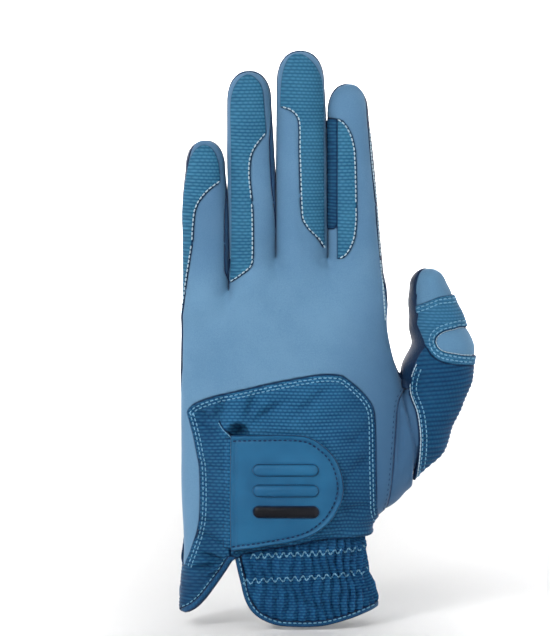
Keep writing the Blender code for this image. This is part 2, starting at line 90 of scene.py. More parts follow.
# Fingers: heights, middles and half widths up to the start of the rounded tip; depth; tip.
FINGERS = {
    "little": {
        "z": (120, 140, 160, 172, 182, 190),
        "x": (-31.2, -31.0, -30.95, -31.2, -31.3, -31.2),
        "w": (9.8, 9.75, 9.9, 9.85, 9.25, 8.4),
        "depth": (8.6, 8.6, 8.4, 8.7, 8.3, 7.9),
        "tip": 202.4,
        "start": 139.5,
    },
    "ring": {
        "z": (130, 150, 168, 185, 200, 218),
        "x": (-11.4, -11.4, -11.6, -11.95, -12.4, -12.9),
        "w": (9.85, 9.85, 10.15, 10.25, 9.95, 9.4),
        "depth": (9.3, 9.2, 9.0, 9.4, 8.9, 8.4),
        "tip": 231.4,
        "start": 153.0,
    },
    "middle": {
        "z": (130, 150, 170, 190, 208, 226),
        "x": (9.25, 9.25, 9.15, 9.1, 9.0, 8.6),
        "w": (11.2, 11.2, 11.1, 10.95, 10.7, 10.1),
        "depth": (9.8, 9.6, 9.4, 9.8, 9.3, 8.8),
        "tip": 239.8,
        "start": 153.0,
    },
    "index": {
        "z": (130, 150, 168, 183, 198, 213),
        "x": (32.1, 31.25, 30.4, 29.85, 29.1, 28.25),
        "w": (12.2, 11.8, 11.0, 10.35, 9.6, 8.65),
        "depth": (9.6, 9.4, 9.1, 9.4, 8.9, 8.5),
        "tip": 226.0,
        "start": 153.0,
    },
}
# Each finger's root ends at these left and right x; neighbours overlap a little.
FINGER_LIMITS = {"little": (-60, -21.25), "ring": (-22.2, -0.9), "middle": (-2.3, 21.1), "index": (19.7, 60)}
FINGER_POWER = 2.25
FINGER_CURL = 2.4  # how far a fingertip leans to the palm side
KNUCKLE_RAMP = 17.5  # length over which the sleeve takes up a bend
MIDDLE_RAMP = 20.0

# Thumb: balls along its length, as x, y, z, radius.
THUMB = np.array([(42, 6, 60, 12.5), (56, 8.5, 78, 14.2), (64.5, 9.5, 94, 12.2), (66.4, 9.8, 104, 14.4),
                  (69.3, 10.5, 113, 12.4), (66.2, 14.5, 124, 11.0), (64.1, 17.5, 133, 9.1),
                  (62.9, 19.2, 139.7, 7.9)])  # fmt: skip
THUMB_SIDE = 51.4  # the thumb's parts lie past this x, the hand's before it
THUMB_BACK = np.array((0.819, -0.574, 0.0))
THUMB_START = 109.3  # along the thumb's lower bone
THUMB_RAMP = 11.5
THUMB_TIP_RAMP = 15.0
THUMB_TIP_BACK = 5.3  # the tip's bend starts this far below the knuckle
THUMB_PALM_SHARE = 0.18  # the palm leather starts this far past the thumb's middle

# Outlines on the back, as strokes of (x, z): each stroke is a smooth curve, and strokes meet in corners.
WRIST_OUTLINE = [
    [(-39.1, 89.0), (-35.7, 92.4), (-27.3, 95.8), (-16.8, 98.3), (-6.3, 100.8), (4.2, 102.9),
     (12.6, 104.4), (18.9, 105.1), (25.2, 104.6), (28.4, 102.8), (32.8, 99.1), (37.0, 94.5), (39.1, 90.0),
     (39.8, 84.0)],
    [(39.8, 84.0), (39.9, 76.4), (40.3, 55.4), (41.0, 46.0), (44.0, 40.0)],
    [(44.0, 36.6), (36.0, 36.6), (20.0, 35.8), (0.0, 33.0), (-14.5, 30.6)],
    [(-20.2, 27.0), (-24.4, 20.6), (-28.6, 14.7), (-31.9, 10.5), (-35.7, 6.7), (-39.5, 4.2)],
    [(-47.0, 4.0), (-47.0, 18.0)],
    [(-39.9, 24.0), (-37.0, 32.3), (-34.9, 38.6), (-33.6, 47.0), (-33.6, 63.8), (-34.9, 72.2),
     (-36.5, 79.8), (-39.1, 89.0)],
]  # fmt: skip
CUFF_OUTLINE = [
    [(-18.9, 28.6), (-17.6, 22.5), (-16.6, 18.6), (-14.7, 11.3), (-11.8, 6.3), (-7.6, 3.0), (-2.1, 0.8),
     (4.2, 0.0), (16.8, 0.0), (27.3, 2.1), (40.3, 5.9), (47.0, 7.6)],
    [(47.0, 36.6), (36.0, 36.6), (20.0, 35.8), (0.0, 33.0), (-14.5, 30.6), (-18.9, 28.6)],
]  # fmt: skip
PALM_HEM = [(-47, 4.4), (-39, 8.0), (-33, 17.0), (-27, 24.5), (-19, 28.0), (-9, 26.6), (3, 20.0),
            (14, 13.0), (26, 8.4), (47, 5.6)]  # fmt: skip
SLIT = [(-21.0, 26.0), (-20.4, 50.0), (-19.8, 70.0), (-18.6, 76.4), (-20.4, 79.6), (-23.6, 82.6),
        (-25.4, 86.0), (-26.0, 91.0), (-26.2, 97.0)]  # fmt: skip
SLIT_TOP = 85.5  # above this the panel is whole
LITTLE_INLAY = [
    [(-24.9, 185.2), (-29.4, 181.9), (-33.2, 177.7), (-35.3, 173.0), (-36.1, 166.7), (-36.5, 160.4),
     (-37.8, 152.0), (-39.1, 143.6), (-40.6, 132.0), (-42.5, 120.0)],
    [(-60.0, 120.0), (-60.0, 182.0)],
    [(-40.0, 182.0), (-38.6, 189.8), (-37.2, 195.0), (-34.8, 198.8), (-31.4, 200.4), (-28.0, 198.4),
     (-25.8, 193.4), (-24.9, 185.2)],
]  # fmt: skip
RING_INLAY = [
    [(-20.6, 143.2), (-20.2, 160.0), (-20.3, 198.2), (-20.6, 215.0), (-19.7, 222.6), (-17.2, 227.4),
     (-13.6, 229.6), (-10.0, 228.0), (-7.4, 223.4), (-6.3, 212.0), (-5.9, 205.2)],
    [(-5.9, 205.2), (-10.1, 199.9), (-12.2, 194.9), (-12.6, 187.7), (-11.8, 179.3), (-11.3, 170.9),
     (-11.2, 156.0), (-11.8, 150.6), (-14.3, 147.8), (-20.6, 143.2)],
]  # fmt: skip
MIDDLE_INLAY = [
    [(0.2, 216.3), (0.4, 223.4), (1.3, 231.0), (3.6, 236.4), (7.0, 238.3), (10.8, 237.2), (14.7, 233.4),
     (17.2, 227.6), (17.9, 219.2), (18.2, 190.0), (18.6, 157.0)],
    [(18.6, 157.0), (16.0, 161.3), (11.8, 165.6), (9.4, 169.7), (8.8, 175.1), (8.4, 185.6), (8.0, 198.2),
     (7.9, 208.7), (6.9, 212.4), (4.4, 214.8), (0.2, 216.3)],
]  # fmt: skip
INDEX_INLAY = [
    [(23.9, 211.3), (26.2, 210.2), (28.8, 206.6), (30.7, 201.2), (31.5, 194.0), (31.9, 177.2),
     (31.9, 168.8), (31.1, 162.1), (29.4, 157.5), (26.9, 154.1), (24.0, 152.9)],
    [(24.0, 152.9), (23.9, 175.0), (23.9, 211.3)],
]  # fmt: skip
INDEX_STRIP = [
    [(15.0, 211.4), (21.4, 211.4), (24.6, 210.9)],
    [(24.6, 210.9), (24.6, 190.0), (24.6, 170.0)],
    [(24.6, 170.0), (23.6, 166.8), (21.5, 165.5), (15.0, 165.5)],
]
GUSSET_SEAM = [(52.4, 97.4), (49.6, 92.0), (48.3, 76.4), (47.0, 59.6), (45.4, 49.1), (43.0, 42.0)]
THUMB_SEAM = [(56.6, 147.0), (55.3, 139.0), (55.6, 133.0), (57.0, 127.0), (59.4, 121.0), (60.9, 116.0),
              (59.2, 113.2), (57.1, 109.2), (55.0, 103.7), (54.3, 98.5), (54.9, 94.6), (57.2, 88.4),
              (58.2, 82.0), (58.5, 76.0), (58.0, 67.0), (57.0, 58.0)]  # fmt: skip
THUMB_FOLD = [(52.6, 95.5), (53.8, 89.0), (55.6, 82.0), (57.2, 75.0)]
KNUCKLE_PATCH = [
    [(90.0, 121.0), (77.3, 123.3), (73.5, 122.9), (69.3, 122.0), (66.4, 120.3), (65.3, 118.0),
     (66.4, 115.3), (69.0, 113.6), (73.5, 112.7), (77.7, 111.9), (90.0, 110.4)],
    [(90.0, 110.4), (90.0, 121.0)],
]  # fmt: skip
STRAP_EDGE = [(40.0, 117.6), (58.0, 117.4), (61.4, 115.6), (63.6, 112.2), (67.6, 109.5), (73.0, 108.3),
              (81.0, 107.2), (92.0, 106.0)]  # fmt: skip
THUMB_CAP_LINE = [(40.0, 127.4), (54.0, 131.0), (60.0, 133.0), (66.0, 135.4), (71.0, 136.2), (90.0, 136.6)]
TAB_OUTLINE = [
    [(-20.0, 79.9), (-6.0, 80.2), (6.3, 80.2), (12.6, 79.0), (17.8, 75.7), (22.3, 70.9), (25.0, 64.7),
     (26.0, 58.1), (25.2, 53.2), (23.5, 49.2), (20.8, 44.9), (16.8, 41.1), (11.8, 37.9), (4.2, 35.5),
     (-8.4, 33.2), (-20.0, 31.5)],
    [(-20.0, 31.5), (-20.3, 55.0), (-20.0, 79.9)],
]  # fmt: skip

# ---------------------------------------------------------------- small tools


def step_between(low, high, value):
    """0 below low, 1 above high and a smooth step in between."""
    t = np.clip((value - low) / (high - low), 0.0, 1.0)  # high may be the smaller: then it falls
    return t * t * (3 - 2 * t)


def smooth_line(points, parts=6):
    """A Catmull-Rom curve through the points, as an array."""
    p = np.array(points, float)
    if len(p) < 3:
        return p
    ends = np.vstack([2 * p[0] - p[1], p, 2 * p[-1] - p[-2]])
    t = np.linspace(0, 1, parts, endpoint=False)[:, None]
    made = []
    for i in range(len(p) - 1):
        a, b, c, d = ends[i : i + 4]
        made.append(0.5 * (2 * b + (c - a) * t + (2 * a - 5 * b + 4 * c - d) * t**2 + (3 * b - a - 3 * c + d) * t**3))
    made.append(p[-1:])
    return np.vstack(made)


def outline(strokes):
    """A closed outline from strokes; a point that two strokes share is kept once."""
    points = np.vstack([smooth_line(s) for s in strokes])
    keep = np.linalg.norm(points - np.roll(points, 1, 0), axis=1) > 1e-6
    return points[keep]


def curve_through(knots, values, at):
    """Smooth interpolation of values over rising knots, flat beyond both ends."""
    knots, values = np.array(knots, float), np.array(values, float)
    slopes = np.gradient(values, knots)
    at = np.clip(at, knots[0], knots[-1])
    i = np.clip(np.searchsorted(knots, at, side="right") - 1, 0, len(knots) - 2)
    width = knots[i + 1] - knots[i]
    t = (at - knots[i]) / width
    first = (2 * t**3 - 3 * t**2 + 1) * values[i] + (t**3 - 2 * t**2 + t) * width * slopes[i]
    second = (3 * t**2 - 2 * t**3) * values[i + 1] + (t**3 - t**2) * width * slopes[i + 1]
    return first + second


def distance_to_line(points, line, closed=False):
    """Distance in the XZ plane from each point to a line of (x, z)."""
    ends = np.roll(line, -1, 0) if closed else line[1:]
    starts = line if closed else line[:-1]
    best = np.full(len(points), 1e9)
    for a, b in zip(starts, ends):
        along = b - a
        t = np.clip(((points - a) @ along) / max(1e-12, along @ along), 0, 1)
        away = points - a - t[:, None] * along
        np.minimum(best, np.einsum("ij,ij->i", away, away), out=best)
    return np.sqrt(best)


def inside_distance(points, line):
    """Signed distance to a closed outline in the XZ plane: positive inside."""
    inside = np.zeros(len(points), bool)
    x, z = points.T
    for a, b in zip(line, np.roll(line, -1, 0)):
        crosses = (a[1] > z) != (b[1] > z)
        if crosses.any():
            at = a[0] + (z - a[1]) * (b[0] - a[0]) / (b[1] - a[1] if b[1] != a[1] else 1e-12)
            inside ^= crosses & (x < at)
    away = distance_to_line(points, line, closed=True)
    return np.where(inside, away, -away)


def right_of(points, line):
    """Signed distance to an open line that runs down or up the glove: positive on its +X side."""
    order = line[np.argsort(line[:, 1])]
    side = points[:, 0] - np.interp(points[:, 1], order[:, 1], order[:, 0])
    return np.sign(side) * np.minimum(np.abs(side), distance_to_line(points, line) + 1e-9)


def front(vertices):
    """The (x, z) of each vertex, as seen from the front."""
    return vertices[:, [0, 2]]


def unit(vectors):
    """Each row at length one; a row of zeros stays."""
    return vectors / np.maximum(np.linalg.norm(vectors, axis=1), 1e-12)[:, None]


def bell(value, width, power=2):
    """1 at zero, falling smoothly to 0 over about twice the width."""
    return np.exp(-((value / width) ** power))


def rounded(d, width):
    """A quarter circle: 0 at an edge, 1 from width inwards."""
    return np.sqrt(1 - (1 - np.clip(d / width, 0, 1)) ** 2)


def edges_of(triangles):
    return np.vstack([triangles[:, [0, 1]], triangles[:, [1, 2]], triangles[:, [2, 0]]])


def rim_edges(triangles, count):
    """The edges that only one triangle has."""
    edges = edges_of(triangles)
    forward, backward = edges[:, 0] * count + edges[:, 1], edges[:, 1] * count + edges[:, 0]
    return edges[~np.isin(forward, backward)]


def waves(points, length, seed, count=5):
    """A smooth random surface of about that wavelength, between -1 and 1."""
    draw = np.random.default_rng(seed)
    total = np.zeros(len(points))
    for _ in range(count):
        direction = draw.normal(size=3)
        direction *= 2 * math.pi / (length * draw.uniform(0.7, 1.4)) / np.linalg.norm(direction)
        total += np.sin(points @ direction + draw.uniform(0, 2 * math.pi))
    return total / count


# ---------------------------------------------------------------- the distance field

CORNERS = [(i, j, k) for i in (0, 1) for j in (0, 1) for k in (0, 1)]
AXES = np.eye(3, dtype=int)
HAND_SCALE, FINGER_SCALE = 15.0, 9.0  # about the half depth, which turns a share of it into millimetres
FIELD_CAP = 4.0  # far away the field is flat
FINGER_MELT = 4.5  # how far a finger's root and the thumb's root melt into the hand
THUMB_MELT = 7.0
SOFT_WAVE = (26.0, 0.35)  # wavelength and depth of the dents
FINE_WAVE = (7.5, 0.10)


class Block:
    """A box of the grid, aligned with the whole grid."""

    def __init__(self, low, high):
        first = np.maximum(np.floor((np.array(low, float) - GRID_LOW) / STEP), 0).astype(int)
        last = np.ceil((np.array(high, float) - GRID_LOW) / STEP)
        last = np.minimum(last, np.ceil((GRID_HIGH - GRID_LOW) / STEP))
        self.first, self.last = first, last.astype(int)
        self.low = GRID_LOW + first * STEP
        axes = [self.low[i] + STEP * np.arange(self.last[i] - first[i] + 1) for i in range(3)]
        self.x, self.y, self.z = np.meshgrid(*axes, indexing="ij", sparse=True)
        self.z_line = axes[2]

    def within(self, other):
        """Slices that pick this block out of another block's array."""
        return tuple(slice(a - o, b - o + 1) for a, b, o in zip(self.first, self.last, other.first))


def true_distance(shape):
    """A field divided by its own slope, so that it reads as a distance near zero."""
    gx, gy, gz = np.gradient(shape, STEP)
    return shape / np.maximum(np.sqrt(gx**2 + gy**2 + gz**2), 0.02)


def melt(a, b, reach):
    """Smooth union of two distances."""
    h = np.maximum(reach - np.abs(a - b), 0) / reach
    return np.minimum(a, b) - h * h * reach / 4


def hand_edges(z):
    """Left edge, right edge, back depth and palm depth of the hand at a height."""
    return [curve_through(HAND[:, 0], HAND[:, i], z) for i in (1, 2, 3, 4)]


def oval(x, y, power, rise=0.0):
    """Below zero inside a rounded box whose half sizes are 1, and above zero outside it."""
    return (np.abs(x) ** power + np.abs(y) ** power + rise**power) ** (1 / power) - 1


def hand_field(block):
    left, right, back, palm = (a[None, None, :] for a in hand_edges(block.z_line))
    middle, half = (left + right) / 2, (right - left) / 2
    depth = np.where(block.y < 0, back, palm)
    top = curve_through(WEB_LINE[:, 0], WEB_LINE[:, 1], block.x)
    rise = np.maximum(0, block.z - (top - WEB_ROUND)) / WEB_ROUND
    share = oval((block.x - middle) / half, block.y / depth, HAND_POWER, rise)
    return true_distance(np.minimum(share, FIELD_CAP) * HAND_SCALE)


def curl_of(z):
    """How far a finger leans to the palm side at a height."""
    return FINGER_CURL * np.clip((z - 150) / 80, 0, 1) ** 2


def finger_field(finger, block):
    z = block.z_line
    middle, half, depth = (curve_through(finger["z"], finger[k], z)[None, None, :] for k in ("x", "w", "depth"))
    curl = curl_of(z)[None, None, :]
    round_start = finger["z"][-1]
    rise = np.maximum(0, block.z - round_start) / (finger["tip"] - round_start)
    share = oval((block.x - middle) / half, (block.y - curl) / depth, FINGER_POWER, rise)
    return true_distance(np.minimum(share, FIELD_CAP) * FINGER_SCALE)


def thumb_field(block):
    """Balls joined by cones."""
    best = None
    for (ax, ay, az, ra), (bx, by, bz, rb) in zip(THUMB, THUMB[1:]):
        a, b = np.array((ax, ay, az)), np.array((bx, by, bz))
        along = b - a
        t = (block.x - a[0]) * along[0] + (block.y - a[1]) * along[1] + (block.z - a[2]) * along[2]
        t = np.clip(t / (along @ along), 0, 1)
        away = (block.x - a[0] - t * along[0]) ** 2
        away = away + (block.y - a[1] - t * along[1]) ** 2 + (block.z - a[2] - t * along[2]) ** 2
        cone = np.sqrt(away) - (ra + (rb - ra) * t)
        best = cone if best is None else melt(best, cone, 3.0)
    return best


def surface(field, block):
    """Surface nets: one vertex in each cell that the surface passes, pulled onto the surface."""
    inside = field < 0
    shape = np.array(field.shape) - 1
    count = np.zeros(shape, np.int8)
    for i, j, k in CORNERS:
        count += inside[i : i + shape[0], j : j + shape[1], k : k + shape[2]]
    active = (count > 0) & (count < 8)
    cells = np.argwhere(active)
    index = np.full(shape, -1)
    index[active] = np.arange(len(cells))
    total, crossings = np.zeros((len(cells), 3)), np.zeros(len(cells))
    for a in CORNERS:
        for axis in range(3):
            if a[axis]:
                continue
            b = list(a)
            b[axis] = 1
            fa = field[tuple((cells + a).T)]
            fb = field[tuple((cells + b).T)]
            cross = (fa < 0) != (fb < 0)
            t = np.where(cross, fa / np.where(cross, fa - fb, 1), 0)
            point = np.array(a, float) + t[:, None] * (np.array(b) - np.array(a))
            total[cross] += point[cross]
            crossings += cross
    vertices = block.low + (cells + total / crossings[:, None]) * STEP
    quads = []
    for axis in range(3):
        one, u, v = (AXES[(axis + turn) % 3] for turn in range(3))
        size = np.array(field.shape) - one
        here = inside[: size[0], : size[1], : size[2]]
        there = inside[one[0] :, one[1] :, one[2] :][: size[0], : size[1], : size[2]]
        edges = np.argwhere(here != there)
        edges = edges[(edges @ u > 0) & (edges @ v > 0) & (edges @ u < shape @ u) & (edges @ v < shape @ v)]
        ring = [index[tuple((edges - du * u - dv * v).T)] for du, dv in ((0, 0), (1, 0), (1, 1), (0, 1))]
        face = np.stack(ring, 1)
        flip = ~here[tuple(edges.T)]
        face[flip] = face[flip][:, ::-1]
        quads.append(face[(face >= 0).all(1)])
    quads = np.vstack(quads)
    slope = np.stack(np.gradient(field, STEP), -1)
    for _ in range(3):
        value = sample(field, block, vertices)
        direction = sample(slope, block, vertices)
        square = np.maximum(np.einsum("ij,ij->i", direction, direction), 0.05)
        vertices = vertices - direction * (np.clip(value, -0.6, 0.6) / square)[:, None]
    return vertices, np.vstack([quads[:, [0, 1, 2]], quads[:, [0, 2, 3]]])


def sample(grid, block, points):
    """Trilinear reading of a grid at points."""
    at = (points - block.low) / STEP
    size = np.array(grid.shape[:3]) - 1
    base = np.clip(np.floor(at).astype(int), 0, size - 1)
    t = np.clip(at - base, 0, 1)
    total = 0
    for corner in CORNERS:
        share = np.prod([t[:, a] if corner[a] else 1 - t[:, a] for a in range(3)], axis=0)
        value = grid[tuple((base + corner).T)]
        total = total + value * (share[:, None] if value.ndim == 2 else share)
    return total


# ---------------------------------------------------------------- sheets: open meshes that are cut


class Sheet:
    """Vertices, unit normals and triangles, in millimetres."""

    def __init__(self, vertices, triangles, normals=None):
        self.v, self.t = vertices, triangles
        self.n = vertex_normals(vertices, triangles) if normals is None else normals

    def part(self, mask):
        """The triangles where mask is true."""
        kept = self.t[mask]
        used = np.unique(kept)
        index = np.full(len(self.v), -1)
        index[used] = np.arange(len(used))
        return Sheet(self.v[used], index[kept], self.n[used])


def vertex_normals(vertices, triangles):
    a, b, c = (vertices[triangles[:, i]] for i in range(3))
    face = np.cross(b - a, c - a)
    total = np.zeros_like(vertices)
    for i in range(3):
        np.add.at(total, triangles[:, i], face)
    return unit(total)


def cut(sheet, values, snap=0.3):
    """Splits the triangles along values = 0. Returns the sheet and which triangles lie above zero."""
    v, n, t, s = sheet.v.copy(), sheet.n.copy(), sheet.t, values.astype(float).copy()
    pairs = np.sort(edges_of(t), axis=1)
    key = np.unique(pairs[:, 0] * len(v) + pairs[:, 1])
    a, b = key // len(v), key % len(v)
    cross = s[a] * s[b] < 0
    share = np.where(cross, s[a] / np.where(cross, s[a] - s[b], 1), 0.5)
    point = v[a] + share[:, None] * (v[b] - v[a])
    owner = np.concatenate([a[cross & (share < snap)], b[cross & (share > 1 - snap)]])
    target = np.concatenate([point[cross & (share < snap)], point[cross & (share > 1 - snap)]])
    away = np.linalg.norm(target - v[owner], axis=1)
    order = np.argsort(-away)
    v[owner[order]] = target[order]
    s[owner] = 0.0
    cross = s[a] * s[b] < 0
    a, b, key = a[cross], b[cross], key[cross]
    share = (s[a] / (s[a] - s[b]))[:, None]
    fresh = v[a] + share * (v[b] - v[a])
    fresh_n = unit(n[a] + share * (n[b] - n[a]))
    count = len(v)

    def midpoint(p, q):
        wanted = np.minimum(p, q) * count + np.maximum(p, q)
        return count + np.searchsorted(key, wanted)

    sign = np.sign(s[t]).astype(int)
    crossing = np.stack([sign[:, 0] * sign[:, 1], sign[:, 1] * sign[:, 2], sign[:, 2] * sign[:, 0]], 1) < 0
    number = crossing.sum(1)
    made = [t[number == 0]]
    sides = [s[t[number == 0]].sum(1) > 0]
    for k in range(3):
        one = (number == 1) & crossing[:, k]
        p, q, r = t[one, k], t[one, (k + 1) % 3], t[one, (k + 2) % 3]
        if len(p):
            m = midpoint(p, q)
            made += [np.stack([p, m, r], 1), np.stack([m, q, r], 1)]
            sides += [s[p] > 0, s[q] > 0]
        two = (number == 2) & ~crossing[:, k]
        p, q, r = t[two, k], t[two, (k + 1) % 3], t[two, (k + 2) % 3]
        if len(p):
            mq, mp = midpoint(q, r), midpoint(r, p)
            made += [np.stack([r, mp, mq], 1), np.stack([p, q, mq], 1), np.stack([p, mq, mp], 1)]
            sides += [s[r] > 0, s[p] > 0, s[p] > 0]
    result = Sheet(np.vstack([v, fresh]), np.vstack(made), np.vstack([n, fresh_n]))
    return result, np.concatenate(sides)


def divide(sheet, rule):
    """Two sheets: where rule(vertices) is above zero, and where it isn't."""
    whole, above = cut(sheet, rule(sheet.v))
    return whole.part(above), whole.part(~above)


def shell(sheet, outer, inner):
    """A closed mesh between two offsets of a sheet. Returns its vertices, triangles and the walls' quads."""
    count = len(sheet.v)
    outer, inner = np.broadcast_to(outer, count), np.broadcast_to(inner, count)
    vertices = np.vstack([sheet.v + sheet.n * outer[:, None], sheet.v + sheet.n * inner[:, None]])
    t = sheet.t
    rim = rim_edges(t, count)
    walls = np.stack([rim[:, 1], rim[:, 0], rim[:, 0] + count, rim[:, 1] + count], 1)
    return vertices, np.vstack([t, t[:, ::-1] + count]), walls


# ---------------------------------------------------------------- Blender objects

PIECES = {}
SHARP = math.radians(50)
FAR = 9.0  # stands for the distance to a seam where there is none


def build_object(name, vertices, triangles, quads, material, rest=None, seam=None, rows=None):
    """An object from arrays in millimetres, with the attributes that its material reads."""
    mesh = bpy.data.meshes.new(name)
    faces = [triangles, quads] if len(quads) else [triangles]
    loops = np.concatenate([f.ravel() for f in faces]).astype(np.int32)
    sizes = np.concatenate([np.full(len(f), f.shape[1]) for f in faces])
    starts = np.concatenate([[0], np.cumsum(sizes)[:-1]]).astype(np.int32)
    mesh.vertices.add(len(vertices))
    mesh.vertices.foreach_set("co", (vertices * MM).astype(np.float32).ravel())
    mesh.loops.add(len(loops))
    mesh.loops.foreach_set("vertex_index", loops)
    mesh.polygons.add(len(starts))
    mesh.polygons.foreach_set("loop_start", starts)
    mesh.update(calc_edges=True)
    mesh.polygons.foreach_set("use_smooth", np.ones(len(starts), bool))
    mesh.set_sharp_from_angle(angle=SHARP)
    stored = mesh.attributes.new("rest", "FLOAT_VECTOR", "POINT")
    stored.data.foreach_set("vector", (vertices if rest is None else rest).astype(np.float32).ravel())
    for attribute, values, default in (("seam", seam, FAR), ("rows", rows, 0.0)):
        stored = mesh.attributes.new(attribute, "FLOAT", "POINT")
        values = np.full(len(vertices), default) if values is None else values
        stored.data.foreach_set("value", values.astype(np.float32))
    mesh.materials.append(material)
    taken = name in bpy.data.objects  # by the CAD node that it stands for
    obj = bpy.data.objects.new(f"{name}_sewn" if taken else name, mesh)
    bpy.context.scene.collection.objects.link(obj)
    PIECES[name] = obj
    return obj


def steady_normals(obj, sheet, wanted):
    """Uses the uncut surface's normals along a cut that is no seam, so that it doesn't show."""
    normals = np.zeros((len(obj.data.vertices), 3))
    count = len(sheet.v)
    normals[:count][wanted] = sheet.n[wanted]
    normals[count:][wanted] = -sheet.n[wanted]
    obj.data.normals_split_custom_set_from_vertices(normals.tolist())


# Regions: how the pieces there move. Filled in below from the frame's joints.
REGIONS = {"hand": ("hand",), "tab": ("tab",)}


def joint_point(name):
    return np.array(JOINTS[name]["pos_m"]) / MM


def fill_regions():
    for name, finger in FINGERS.items():
        knuckle, bend = joint_point(f"{name}_knuckle_bend"), joint_point(f"{name}_middle_bend")
        start = np.array((knuckle[0], knuckle[1], finger["start"]))
        REGIONS[f"{name}_lower"] = ("hand", f"{name}_lower", start, start + (0, 0, KNUCKLE_RAMP))
        low = bend - (0, 0, MIDDLE_RAMP / 2)
        REGIONS[f"{name}_upper"] = (f"{name}_lower", f"{name}_upper", low, low + (0, 0, MIDDLE_RAMP))
        finger["split"] = (finger["start"] + KNUCKLE_RAMP + low[2]) / 2
    base, knuckle = joint_point("thumb_base_bend"), joint_point("thumb_tip_bend")
    along = (knuckle - base) / np.linalg.norm(knuckle - base)
    start = base + along * (THUMB_START - along @ base)
    REGIONS["thumb_base"] = ("hand", "thumb_base", start, start + along * THUMB_RAMP)
    tip_way = THUMB[-1, :3] - knuckle
    middle = along + tip_way / np.linalg.norm(tip_way)
    middle /= np.linalg.norm(middle)
    low = knuckle - middle * THUMB_TIP_BACK
    REGIONS["thumb_tip"] = ("thumb_base", "thumb_tip", low, low + middle * THUMB_TIP_RAMP)
    hinge = joint_point("tab_open")
    REGIONS["tab_root"] = ("hand", "tab", hinge + (-2.4, 0, 0), hinge + (2.6, 0, 0))


fill_regions()


def above_start(region):
    """A rule: positive past the plane where a region's bend starts."""
    low, high = REGIONS[region][2:]
    along = (high - low) / np.linalg.norm(high - low)
    return lambda v: (v - low) @ along


def attach(obj, region, slot, *nodes):
    """Parents a piece to its region's body where there is only one, and otherwise only bakes its transform; hides the
    CAD nodes that it stands for.
    """
    how = REGIONS[region]
    if len(how) == 1:
        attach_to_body(obj, how[0])
    else:
        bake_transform(obj)
    if nodes:
        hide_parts(*nodes)


# ---------------------------------------------------------------- materials

TONE = 0.83  # the studio's light is this much too bright for the named colours
# the colour of the painted shade in the creases beside the seams
SEAM_SHADE_COLOUR = (14, 44, 78)
LOOP_SIZE = 0.62  # of the stretch knit
DASH = 1.9  # length of the mesh's dashes
# Rows of raised leather or mesh: their pitch, slope and depth. Shallow rows stay in the material alone.
RIBS = {
    "ribbed": (1.42, 0.0, 0.09),
    "ribbed_shaded": (1.42, 0.0, 0.0),
    "ribbed_wrist": (1.42, 0.0, 0.1),
    "ribbed_thumb": (1.85, -0.1, 0.16),
    "strap_leather": (1.3, 0.0, 0.06),
    "cuff": (1.2, 0.0, 0.0),
}
ROW_WANDER = (30.0, 0.7)  # wavelength and height


def linear(colour):
    """An sRGB colour of 0 to 255 as linear light."""
    parts = [c / 255 for c in colour]
    return tuple(TONE * (p / 12.92 if p <= 0.04045 else ((p + 0.055) / 1.055) ** 2.4) for p in parts) + (1.0,)


